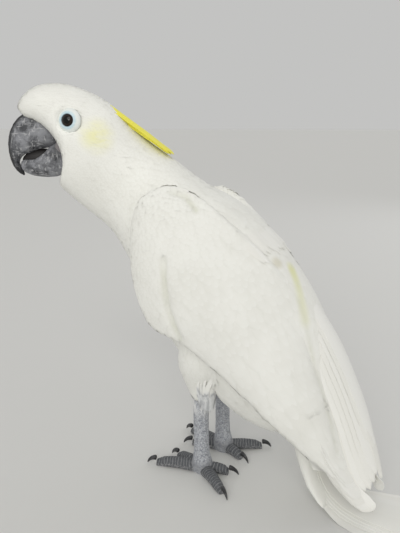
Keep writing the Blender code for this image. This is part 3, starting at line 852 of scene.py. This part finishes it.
quills = {
    # first and last feather: where the root and tip lie along and across the wing, width, lift (mm)
    "secondaries": {"count": 8, "root": ((2.3, 0.32), (2.6, 0.84)), "tip": ((6.3, 0.28), (5.2, 0.93)),
                    "width": (24, 18), "lift": (-0.5, -1.5), "sunk": 3.0, "bent": True},
    "primaries": {"count": 8, "root": ((4.2, 0.40), (4.8, 0.70)), "tip": ((6.8, 0.32), (8.5, 0.62)),
                  "width": (19, 13), "lift": (-0.8, -2.4), "sunk": 4.0, "bent": False},
}
quillRows, quillStray = 22, (0.06, 0.006)


def makeQuills(name, hand, family):
    count = family["count"]
    shares = sharesOf(quillRows, longLook["crowd"])
    paths = np.zeros((count, len(shares), 3))
    order = np.linspace(0, 1, count)
    for i, share in enumerate(order):
        (rootAlong, rootAcross), tip = blend(family["root"], share), blend(family["tip"], share)
        tipAlong, tipAcross = tip + rng.normal(0, quillStray)
        for j, way in enumerate(shares):
            along = rootAlong + (tipAlong - rootAlong) * way
            paths[i, j] = wingPlace(along, rootAcross + (tipAcross - rootAcross) * way, sideOf[hand])
    lifts = np.array([blend(family["lift"], share) for share in order]) * mm
    widths = np.array([blend(family["width"], share) for share in order]) * mm
    surface = guides["wing_" + hand].surface
    look = {**longLook, "lift": lifts, "sunk": family["sunk"] * mm}
    surfaces = [(surface, everyFeather)] if family["bent"] else []
    return vanes(f"{name}_{hand}", drawn(surface, paths), widths, look, surfaces)


fan = {"count": 12, "rows": 30, "length": 145, "shorter": 8, "width": 27, "spread": 8, "layer": 0.3,
       "lift": -0.2, "from": 0.17, "under": 3 * mm, "heading": (0.10, 0.25, -1.0),
       "outline": [(0.0, 0.4), (0.3, 0.62), (0.6, 0.85), (0.85, 1.0), (0.95, 0.85), (0.985, 0.5), (1.0, 0.1)]}


def makeTail():
    count = fan["count"]
    surface = Surface(nodes["tail"].data, 2)
    order = np.linspace(-1, 1, count)
    start = Vector((0, tailLow.y + fan["from"] * (tailHigh.y - tailLow.y), tailHigh.z - fan["under"]))
    aside, back, down = fan["heading"]
    lines = []
    for share in order:
        root = start + Vector((share * fan["spread"] * mm, 0, 0))
        length = (fan["length"] - fan["shorter"] * share ** 2) * mm
        lines.append(surface.walk(root, (share * aside, back, down), length, fan["rows"]))
    spots, outs = (np.array([[each[k] for each in line] for line in lines]) for k in (0, 1))
    spots, outs = evened(spots, 3), unit(evened(outs, 6))
    lifts = (fan["lift"] - fan["layer"] * np.abs(order) * (count - 1)) * mm
    look = {**longLook, "outline": fan["outline"], "crowd": 1.0, "thick": 0.3 * mm, "sunk": 0.5 * mm,
            "floor": (0.6 + 0.35 * (1 - np.abs(order)) * (count / 2)) * mm}
    lines = (spots + outs * lifts[:, None, None], outs)
    return vanes("rectrices", lines, np.full(count, fan["width"] * mm), look)


class Course:
    # a line through points, asked for by the distance along it
    def __init__(self, line):
        self.columns = np.array(line, float).T
        self.run = np.concatenate([[0], np.cumsum(np.linalg.norm(np.diff(self.columns.T, axis=0), axis=1))])
        self.length = self.run[-1]

    def __call__(self, at):
        return [np.interp(at, self.run, column) for column in self.columns]


# the innermost wing feathers, that close the back between the wings; the line: backwards and up (mm)
tertials = {"count": 13, "rows": 24, "width": (17, 19), "spread": 19, "stack": (3.0, -9.0),
            "length": (0.80, 1.0), "tilt": 0.9, "taper": 0.25, "arch": 0.10,
            "line": [(56, 176), (78, 148), (96, 121), (109, 93), (118, 71), (124, 52), (129, 35), (132, 20)]}


def makeTertials():
    count, rows = tertials["count"], tertials["rows"]
    course = Course(tertials["line"])
    spots, outs = np.zeros((2, count, rows + 1, 3))
    order = np.linspace(-1, 1, count)
    for i, share in enumerate(order):
        end = blend(tertials["length"], rng.random())
        lift = blend(tertials["stack"], share * share)
        for j, way in enumerate(sharesOf(rows, longLook["crowd"])):
            at = end * way * course.length
            (y, z), (y1, z1), (y2, z2) = course(at), course(at - 2), course(at + 2)
            out = Vector((tertials["tilt"] * share, z1 - z2, y2 - y1))
            out.yz = out.yz.normalized()
            outs[i, j] = out.normalized()
            wide = tertials["spread"] * (1 - tertials["taper"] * at / course.length)
            spots[i, j] = place(share * wide, y, z) + Vector((0, out.y, out.z)) * lift * mm
    widths = np.array([blend(tertials["width"], 1 - abs(share)) for share in order]) * mm
    look = {**longLook, "arch": tertials["arch"]}
    return vanes("tertials", (evened(spots, 4), unit(evened(outs, 4))), widths, look)


scapulars = {"count": 19, "rows": 12, "roots": ((0, 33, 214), (27, 26, 207)), "lie": (-0.10, 0.72, -0.69),
             "stray": 0.08, "length": (30, 40), "width": (8, 11), "lift": 0.5}


def makeScapulars():
    # the ragged last row of the back feathers, over the yellow down
    surface, count = guides["whole"].surface, scapulars["count"]
    order = np.linspace(-1, 1, count)
    roots = [np.array(place(*blend(scapulars["roots"], abs(share)))) for share in order]
    for root, share in zip(roots, order):
        root[0] = feet.x + (root[0] - feet.x) * np.sign(share)
    roots = np.array([surface.nearest(Vector(root))[0] for root in roots])
    outs = np.array([surface.nearest(Vector(root))[1] for root in roots])
    mirrored = np.stack([order, np.ones(count), np.ones(count)], 1)
    lies = spun(np.tile(scapulars["lie"], (count, 1)) * mirrored, outs,
                rng.normal(0, scapulars["stray"], count))
    lengths = rng.uniform(*scapulars["length"], count) * mm
    lines = walks(surface, roots, lies, lengths, scapulars["rows"])
    widths = rng.uniform(*scapulars["width"], count) * mm
    look = {**longLook, "columns": 7, "sink": 1.2, "lift": np.full(count, scapulars["lift"] * mm),
            "arch": 0.03, "reach": 5 * mm, "thick": 0.3 * mm}
    return vanes("scapulars", lines, widths, look, [(surface, everyFeather)])


# each course of the thigh: height, middle to the left and back, half widths (mm)
cuff = {"count": 150, "rows": 10, "root": (72, 94), "tip": (55, 70), "width": (2.4, 4.2), "over": 0.2,
        "turn": 2.399963,       # from one to the next, in radians, so that they spread evenly
        "stray": 0.1,
        "thigh": [(54, 18.1, 3.5, 5.9, 6.1), (60, 18.1, 3.5, 6.2, 6.4), (65.5, 18.2, 3.4, 7.4, 7.6),
                  (70, 19, 3.2, 8.3, 8.7), (78, 21, 4, 10.1, 11.5), (88, 23.5, 6, 12.3, 16.8),
                  (98, 25, 9, 13.8, 20.8)]}


def makeCuff(hand):
    # feather ends that hang over the top of the shank
    count, rows = cuff["count"], cuff["rows"]
    angles = np.arange(count) * cuff["turn"] + rng.normal(0, cuff["stray"], count)
    roots, tips = rng.uniform(*cuff["root"], count), rng.uniform(*cuff["tip"], count)
    heights, centreX, centreY, wide, deep = zip(*cuff["thigh"])
    spots, outs = np.zeros((2, count, rows + 1, 3))
    for j, share in enumerate(np.linspace(0, 1, rows + 1)):
        up = roots + (tips - roots) * share
        x, y, w, d = (np.interp(up, heights, column) for column in (centreX, centreY, wide, deep))
        off = cuff["over"] * math.sin(math.pi * share)
        across, along = np.cos(angles) * (w + off), np.sin(angles) * (d + off)
        spots[:, j] = np.array(feet) + np.stack([x * sideOf[hand] + across, y + along, up], 1) * mm
        outs[:, j] = np.stack([across / w ** 2, along / d ** 2, 0 * up + 0.02], 1)
    look = {**longLook, "columns": 3, "sink": 1.3, "arch": 0.05, "fray": 0.03, "thick": 0.0, "smooth": 0.9,
            "sunk": 3.2 * mm}
    return vanes("cuff_" + hand, (spots, unit(outs)), rng.uniform(*cuff["width"], count) * mm, look)


# the line: ahead and up from the eyes (mm); stack: the first and last plume's height over it
crest = {"count": 12, "rows": 20, "width": (10, 17), "stack": (6.8, -4.2), "length": (0.86, 1.0),
         "begin": 0.25, "lean": 1.2, "up": (0.55, 0, 0.83), "settle": 0.45,
         "outline": [(0.0, 0.35), (0.2, 0.7), (0.6, 0.95), (0.85, 1.0), (0.95, 0.86), (0.985, 0.5),
                     (1.0, 0.1)],
         "line": [(-18, 12.5), (-28, 7), (-38, -0.5), (-48, -7.5), (-58, -14.5), (-67, -21.5), (-76, -28)]}


def makeCrest():
    count, rows = crest["count"], crest["rows"]
    course = Course(crest["line"])
    spots, outs = np.zeros((2, count, rows + 1, 3))
    order = np.linspace(0, 1, count)
    for i, share in enumerate(order):
        end = blend(crest["length"], rng.random()) if i else 1.0
        begin = crest["begin"] * rng.random()
        high = blend(crest["stack"], share)
        lean = rng.normal(0, crest["lean"])
        for j, way in enumerate(sharesOf(rows, longLook["crowd"])):
            ahead, up = course((begin + (end - begin) * way) * course.length)
            rise = high * (1 - crest["settle"] * way)
            spots[i, j] = headPlace(ahead + crest["up"][0] * rise, lean, up + crest["up"][2] * rise)
            outs[i, j] = headPlace(*crest["up"]) - eyeMiddle
    swollen = [math.sin(math.pi * min(0.5, share + 0.15)) for share in order]
    widths = np.array([blend(crest["width"], share) for share in swollen]) * mm
    look = {**longLook, "arch": 0.28, "fray": 0.03, "thick": 0.3 * mm, "outline": crest["outline"],
            "sunk": 1 * mm}
    return vanes("crest_plumes", (evened(spots, 3), unit(outs)), widths, look)


def smoothCopy(name, names, levels):
    # the solids' own shapes, rounded off
    piece = objectOf(meshOf(joined(names, 0.0), name), name)
    modified(piece, "SUBSURF", levels=levels, render_levels=levels).data.shade_smooth()
    return piece


print("stage: long feathers")
longVanes = {}
for hand in hands:
    for name, family in quills.items():
        longVanes[f"{name}_{hand}"] = makeQuills(name, hand, family)
longVanes["rectrices"] = makeTail()
longVanes["crest_plumes"] = makeCrest()
longVanes["tertials"] = makeTertials()
longVanes["scapulars"] = makeScapulars()
cuffs = {hand: makeCuff(hand) for hand in hands}

# horn: the bill's two halves, with growth ridges and worn flakes
horn = {"voxel": 0.4 * mm, "smooth": 2, "swell": 0.0, "grain": 0.10 * mm, "grainSize": 2.2 * mm,
        "ridge": 0.10 * mm, "ridgeGap": 2.3, "waves": 7 * mm, "rim": (3.4, 6.4), "front": (28, 37),
        "ridged": (-9, 3),       # heights that the growth ridges fade in between
        "upperEdge": (5, 15), "hook": -34, "lowerEdge": (-36, -26), "jut": (27, 40), "jutBy": 3.5 * mm}
# how far the cutting edges come together, by the place ahead of the eyes (mm)
closing = {
    "bill_upper": [(4, -6.0), (17, -6.0), (23, -4.0), (30, -2.0), (36, -2.0), (42, 0.0)],
    "bill_lower": [(4, 4.0), (15, 4.5), (24, 1.0), (31, 1.0), (37, 4.5), (44, 5.5)],
}


def makeHorn(node):
    piece = voxelForm(node + "_horn", [node], horn)
    mesh = piece.data
    points, normals = pointsOf(mesh), normalsOf(mesh)
    local = headFrame(points)
    close = np.interp(local[:, 0], *zip(*closing[node]))
    if node == "bill_upper":
        close *= eased(-local[:, 2], *horn["upperEdge"]) * (local[:, 2] > horn["hook"])
    else:
        close *= eased(local[:, 2], *horn["lowerEdge"])
        points += np.outer(eased(local[:, 0], *horn["jut"]) * horn["jutBy"], headAhead)
    points[:, 2] += close * mm
    facing = normals @ np.array(headAhead) + 0.5 * normals[:, 2]
    rim = (1 - eased(np.abs(local[:, 1]), *horn["rim"])) * eased(facing, 0.0, 0.4)
    rim = np.maximum(rim, eased(-local[:, 2], *horn["front"]))
    rough = eachOf(points, lambda spot: noise.fractal(spot, 0.9, 2.1, 4), horn["grainSize"])
    wave = eachOf(points, noise.noise, horn["waves"])
    ridges = np.sin(local[:, 2] * 2 * math.pi / horn["ridgeGap"] + 5 * wave)
    ridges = ridges * eased(local[:, 2], *horn["ridged"])
    depth = horn["grain"] * np.clip(rough, -1, 1) + horn["ridge"] * ridges * (1 - rim)
    setPoints(mesh, points + normals * depth[:, None])
    mark(mesh, "rim", rim if node == "bill_upper" else np.zeros(len(points)))
    mark(mesh, "edge", np.clip(np.abs(close) / 6, 0, 1) ** 2)
    mark(mesh, "ridges", ridges)
    mesh.shade_smooth()
    return piece


# the mouth's lining, near-black as painted shade inside the gape, the tongue and the flesh at the bill's
# corners: middle and half sizes, in the head's own directions (mm)
mouth = {
    # near-black lining: painted shade inside the mouth
    "mouth_lining_shade": {"middle": (26, 0, -27.0), "half": (17, 6.8, 6.8), "droop": 0.25,
                     "colour": (0.012, 0.010, 0.010)},
    "tongue": {"middle": (26, 0, -26.0), "half": (8.0, 7.2, 2.6), "droop": 0.25,
               "colour": (0.022, 0.02, 0.021)},
    **{"gape_" + hand: {"middle": (9.5, side, -18.5), "half": (6.0, 1.6, 5.0), "droop": 0.0,
                        "colour": (0.20, 0.185, 0.19)} for hand, side in zip(hands, (8.3, -8.3))},
}


def ballOf(name, segments, rings, radius, moved):
    # a ball's points, each moved to its place
    bm = bmesh.new()
    bmesh.ops.create_uvsphere(bm, u_segments=segments, v_segments=rings, radius=radius)
    for vert in bm.verts:
        vert.co = moved(vert.co)
    bmesh.ops.recalc_face_normals(bm, faces=bm.faces)
    piece = objectOf(meshOf(bm, name), name)
    piece.data.shade_smooth()
    return piece


def makeMouth(name):
    look = mouth[name]

    def moved(spot):
        off = [middle + half * along for middle, half, along in zip(look["middle"], look["half"], spot)]
        off[2] -= look["droop"] * look["half"][2] * spot.x ** 2
        return headPlace(*off)

    return ballOf(name, 32, 20, 1.0, moved)


# eyes: radius and height over the ball's centre of the bare ring's section
ringSection = [(4.45, 4.3), (4.5, 4.7), (4.8, 4.95), (5.3, 4.95), (5.8, 4.7), (6.3, 4.5), (6.9, 4.1),
               (7.4, 3.7), (7.9, 3.2), (8.4, 2.6), (8.8, 1.9), (8.9, 1.0), (7.4, 0.8), (5.8, 2.0), (4.8, 3.6)]
eye = {"radius": 6.35, "pupil": 2.7, "iris": 4.1, "wrinkles": 17, "wrinkle": 0.14, "bare": 4.6,
       "squint": 0.035, "turns": 96}


def eyeAxes(hand):
    out = (middle("eye_ring_" + hand) - middle("eye_" + hand)).normalized()
    up = (Vector((0, 0, 1)) - out * out.z).normalized()
    return middle("eye_" + hand), out, up, out.cross(up)


def makeBall(hand):
    centre, out, up, across = eyeAxes(hand)
    turn = Matrix.Translation(centre) @ Matrix((across, up, out)).transposed().to_4x4()
    piece = ballOf("ball_" + hand, 48, 32, eye["radius"] * mm, lambda spot: turn @ spot)
    off = pointsOf(piece.data) - np.array(centre)
    height = off @ np.array(out)
    away = np.sqrt(np.maximum((off ** 2).sum(1) - height ** 2, 0)) / mm
    mark(piece.data, "radius", away + 9 * (height < 0))             # the back counts as far from the pupil
    return piece


def makeLids(hand):
    centre, out, up, across = eyeAxes(hand)
    turns, count = eye["turns"], len(ringSection)
    points, radii = [], []
    for i in range(turns):
        angle = 2 * math.pi * i / turns
        way = across * math.cos(angle) + up * math.sin(angle)
        for radius, height in ringSection:
            share = min(1.0, max(0.0, (radius - eye["bare"]) / eye["bare"]))
            crease = math.sin(angle * eye["wrinkles"] + 2.4 * math.sin(3 * angle) + radius * 0.9)
            bare = max(0.0, math.sin(math.pi * share))
            puff = eye["wrinkle"] * bare * (crease + 0.8 * math.sin(radius * 5.2 + math.sin(2 * angle)))
            squint = 1 - eye["squint"] * math.sin(angle) ** 2 * (radius < 5)
            points.append(centre + way * radius * squint * mm + out * (height + puff * (height > 4)) * mm)
            radii.append(radius)
    here = np.arange(turns * count).reshape(turns, count)
    after = np.roll(here, -1, 0)
    faces = np.stack([here, np.roll(here, -1, 1), np.roll(after, -1, 1), after], 2).reshape(-1, 4).tolist()
    mesh = bpy.data.meshes.new("lids_" + hand)
    mesh.from_pydata(points, [], faces)
    bm = bmesh.new()
    bm.from_mesh(mesh)
    bmesh.ops.recalc_face_normals(bm, faces=bm.faces)
    bm.to_mesh(mesh)
    bm.free()
    mark(mesh, "radius", radii)
    mesh.shade_smooth()
    return objectOf(mesh, "lids_" + hand)


# scales of the feet: cells on the shank, plates across the toes (mm)
scales = {"voxel": 0.42 * mm, "smooth": 3, "swell": 0.25 * mm, "cell": 1.5, "plate": 2.3, "wander": 4 * mm,
          "relief": 0.22 * mm, "crack": (0.02, 0.32), "groove": (0.03, 0.16), "toe": (6.5, 9.0),
          "toeTop": (11, 14), "top": (46, 62), "ground": (0.1 * mm, 1.2 * mm)}
digits = (1, 2, 3, 4)


def makeFoot(hand):
    names = ["shank_" + hand] + [f"toe_{k}_{hand}" for k in digits]
    piece = voxelForm("scales_" + hand, names, scales)
    mesh = piece.data
    points, normals = pointsOf(mesh), normalsOf(mesh)
    centre = np.array(middle("shank_" + hand))
    reach = np.linalg.norm((points - centre)[:, :2], axis=1) / mm
    nearest = eachOf(points, lambda spot: noise.voronoi(spot)[0][:2], scales["cell"] * mm)
    cells = eased(nearest[:, 1] - nearest[:, 0], *scales["crack"])
    wander = eachOf(points, noise.noise, scales["wander"])
    plates = eased(np.abs(((reach + 0.7 * wander) / scales["plate"]) % 1 - 0.5), *scales["groove"])
    onToe = eased(reach, *scales["toe"]) * (1 - eased(points[:, 2] / mm, *scales["toeTop"]))
    upper = onToe * eased(normals[:, 2], 0.05, 0.4)
    height = cells * (1 - upper) + plates * upper
    lowest = eased(points[:, 2], *scales["ground"])
    moved = points + normals * (scales["relief"] * (height - 0.8) * lowest)[:, None]
    moved[:, 2] = np.maximum(moved[:, 2], 0.0)
    setPoints(mesh, moved)
    mark(mesh, "height", height)
    mark(mesh, "top", eased(points[:, 2] / mm, *scales["top"]))
    mark(mesh, "toe", onToe)
    mesh.shade_smooth()
    return piece


print("stage: bill, eyes, feet")
horns = {node: makeHorn(node) for node in ("bill_upper", "bill_lower")}
mouthParts = {name: makeMouth(name) for name in mouth}
balls = {hand: makeBall(hand) for hand in hands}
lids = {hand: makeLids(hand) for hand in hands}
soles = {hand: makeFoot(hand) for hand in hands}
claws = {hand: smoothCopy("talons_" + hand, [f"claw_{k}_{hand}" for k in digits], 2) for hand in hands}


# the markings and painted shade that skin and coat share: place (mm from the feet), reach (mm), softness,
# strength, colour
ear = {"at": (41, -75, 262), "reach": 17, "soft": 0.9, "plain": 0.48, "streaked": 0.34,
       "colour": (0.88, 0.86, 0.46)}
# yellow down where the back shows between the wings, from one place to another
yellows = {"line": ((3.5, 62.5, 173), (17.5, 79.5, 140)), "count": 12, "reach": 6.5, "soft": 0.9,
           "strength": 0.42, "colour": (0.76, 0.77, 0.30)}
# painted shadow under the ragged ends of the back feathers
notchShadow = {"at": (13.5, 56.5, 178), "reach": 6.5, "soft": 0.8, "strength": 0.5, "colour": (0.62, 0.58, 0.42)}
bare = {"at": (23, -5, 67), "reach": 4.5, "soft": 0.7, "strength": 0.75, "colour": (0.17, 0.18, 0.20)}
# strength and colour of the painted shade along the folds, of the greyish fringe with painted shade at the
# bill's edge, and of the painted shade down a feather's sides
edges = {"fold": (0.6, (0.66, 0.67, 0.54)), "fringeShade": (0.7, (0.40, 0.39, 0.35)),
         "sides": (0.30, (0.76, 0.76, 0.70))}


def plumagePaint(name):
    paint = Paint(name, (0.90, 0.897, 0.85), 0.75, Sheen_Weight=0.1)

    def near(look, spot):
        return paint.near(place(*spot), look["reach"] * mm, look["soft"])

    paint.lay(paint.noise(40.0).step(0.3, 0.7), (0.85, 0.845, 0.795))
    paint.lay(paint.attribute("tips").step(0.0, 1.0) * 0.6, (0.93, 0.93, 0.89))
    streaks = paint.noise(260.0, stretch=(0.3, 0.3, 1.0)).step(0.38, 0.60)
    paint.lay(near(ear, ear["at"]) * (ear["plain"] + ear["streaked"] * streaks), ear["colour"])
    for share in np.linspace(0, 1, yellows["count"]):
        down = near(yellows, blend(yellows["line"], share))
        paint.lay(down * (yellows["strength"] * (1.1 - 0.75 * share)), yellows["colour"])
    # painted shadow under the ends of the back feathers
    paint.lay(near(notchShadow, notchShadow["at"]) * notchShadow["strength"], notchShadow["colour"])
    # painted shade, olive-tinted, in the folds of the wings
    paint.lay(paint.attribute("fold") * edges["fold"][0], edges["fold"][1])
    for side in (-1, 1):
        x, y, z = bare["at"]
        paint.lay(near(bare, (x * side, y, z)) * bare["strength"], bare["colour"])
    # greyish-brown fringe of the feathers at the bill, with painted shade
    paint.lay(paint.attribute("fringeShade") * edges["fringeShade"][0], edges["fringeShade"][1])
    # painted shade down each feather's sides
    paint.lay(paint.attribute("sides").step(0.3, 1.0) * edges["sides"][0], edges["sides"][1])
    return paint.finish()


def vanePaint(name, light, deep):
    paint = Paint(name, light, 0.7, Sheen_Weight=0.1)
    barbs = paint.noise(60.0, 4.0, stretch=(1.0, 0.25, 0.25))
    paint.lay((barbs * 0.6 + paint.attribute("tone") * 0.4).step(0.2, 0.8), deep)
    return paint.finish()


def cuffPaint():
    # white above, silvery and streaked towards the ends
    paint = Paint("cuff", (0.87, 0.868, 0.83), 0.55)
    streaks = paint.noise(260.0, stretch=(1.0, 1.0, 0.2)).step(0.42, 0.60)
    ends = paint.attribute("tips").step(0.0, 0.7)
    paint.lay(ends * 0.9, (0.66, 0.67, 0.68))
    paint.lay(streaks * ends * 0.8, (0.36, 0.37, 0.385))
    return paint.finish()


def hornPaint():
    paint = Paint("horn", (0.046, 0.048, 0.054), 0.45)
    bloom = paint.noise(100.0, 6.0, 0.66).step(0.36, 0.62)
    flakes = paint.noise(480.0, 4.0, stretch=(1.0, 1.0, 0.4)).step(0.56, 0.68)
    scratches = paint.noise(300.0, stretch=(0.5, 0.5, 2.6)).step(0.58, 0.70)
    paint.lay(bloom, (0.255, 0.260, 0.280))
    paint.lay(paint.attribute("ridges").step(0.2, 1.0) * 0.4, (0.36, 0.36, 0.38))
    paint.lay(flakes.most(scratches) * 0.6, (0.56, 0.56, 0.57))
    paint.lay(paint.attribute("edge"), (0.03, 0.03, 0.034))
    paint.lay(paint.attribute("rim"), (0.012, 0.012, 0.014))
    return paint.finish(roughness=0.40 + 0.25 * bloom)


def ballPaint():
    paint = Paint("eyeball", (0.002, 0.002, 0.002), 0.12, Specular_IOR_Level=0.3)
    away = paint.attribute("radius")
    paint.lay(away.step(eye["pupil"] - 0.2, eye["pupil"] + 0.2), (0.018, 0.010, 0.007))
    paint.lay(away.step(eye["iris"] - 0.3, eye["iris"] + 0.4), (0.006, 0.005, 0.005))
    return paint.finish()


def lidPaint():
    paint = Paint("lids", (0.20, 0.27, 0.33), 0.55)
    away = paint.attribute("radius")
    paint.lay(away.step(4.5, 5.2), (0.55, 0.71, 0.78))
    paint.lay(away.step(5.6, 7.4), (0.82, 0.85, 0.82))
    paint.lay(paint.noise(500.0).step(0.4, 0.65) * 0.25, (0.88, 0.90, 0.88))
    return paint.finish()


def scalePaint():
    # plates darker than the grooves on the toes, and lighter on the shanks
    paint = Paint("scales", (0.24, 0.25, 0.28), 0.6)
    height = paint.attribute("height")
    grain = paint.noise(500.0, 4.0).step(0.35, 0.7)
    streaks = paint.noise(330.0, stretch=(1.0, 1.0, 0.22)).step(0.42, 0.58)
    paint.lay(height.step(0.2, 1.0), (0.44, 0.46, 0.50))
    paint.lay(grain * 0.5, (0.66, 0.67, 0.69))
    paint.lay(streaks * paint.attribute("top"), (0.82, 0.82, 0.81))
    toe = paint.mix(height.step(0.0, 0.8), (0.30, 0.30, 0.31), (0.075, 0.08, 0.088))
    paint.lay(paint.attribute("toe"), paint.mix(grain * 0.2, toe, (0.26, 0.27, 0.28)))
    return paint.finish()


def clawPaint():
    paint = Paint("claws", (0.02, 0.02, 0.022), 0.35)
    paint.lay(paint.noise(300.0).step(0.4, 0.7), (0.07, 0.07, 0.075))
    return paint.finish()


shade = {"fold": 2 * mm, "fringeShade": (0.4 * mm, 3.6 * mm)}     # the fold depth at which its painted shade is full, and the reach of the fringe and its painted shade at the bill


def markFoldShade(piece):
    # painted shade in the folds, by how deep they are
    mark(piece.data, "fold", np.clip(foldDepth(pointsOf(piece.data)) / shade["fold"], 0, 1) ** 2)


def markFringeShade(piece):
    # how near each point lies to the bill, for the greyish fringe and painted shade there
    gaps = np.array([billTree.find_nearest(Vector(point))[3] for point in pointsOf(piece.data)])
    mark(piece.data, "fringeShade", 1 - eased(gaps, *shade["fringeShade"]))


def dress(piece, material, slot, *replaced):
    piece.data.materials.clear()
    piece.data.materials.append(material)
    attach(piece, "root")
    if replaced:
        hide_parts(*replaced)


print("stage: materials")
billTree = Whose(["bill_upper", "bill_lower"]).tree
markFringeShade(skin)
markFoldShade(skin)
for piece in feathered:
    markFoldShade(piece)
    if piece.name in ("plumage_head", "plumage_neck"):
        markFringeShade(piece)
white = plumagePaint("plumage")
dress(skin, plumagePaint("skin"), "plumage", *flesh, *wings["left"], *wings["right"])
for piece in feathered:
    dress(piece, white, "plumage")
quill = vanePaint("quills", (0.91, 0.905, 0.87), (0.87, 0.862, 0.815))
yellow = vanePaint("crest", (0.93, 0.88, 0.12), (0.90, 0.82, 0.07))
instead = {"rectrices": ["tail"], **{"primaries_" + hand: [f"wing_{hand}_primaries"] for hand in hands}}
dress(longVanes.pop("crest_plumes"), yellow, "crest", "crest")
for name, piece in longVanes.items():
    dress(piece, quill, "plumage", *instead.get(name, ()))
silver, bill, balled, lidded, scaled, clawed = \
    cuffPaint(), hornPaint(), ballPaint(), lidPaint(), scalePaint(), clawPaint()
for node, piece in horns.items():
    dress(piece, bill, "bill", node)
for name, piece in mouthParts.items():
    dress(piece, Paint(name, mouth[name]["colour"], 0.6).finish(), "bill")
for hand in hands:
    dress(cuffs[hand], silver, "plumage")
    dress(balls[hand], balled, "eye", "eye_" + hand)
    dress(lids[hand], lidded, "eye_ring", "eye_ring_" + hand)
    dress(soles[hand], scaled, "scales", "shank_" + hand, *[f"toe_{k}_{hand}" for k in digits])
    dress(claws[hand], clawed, "claw", *[f"claw_{k}_{hand}" for k in digits])
for made in forms.values():
    bpy.data.objects.remove(made)
makeRoom()
makeCamera()
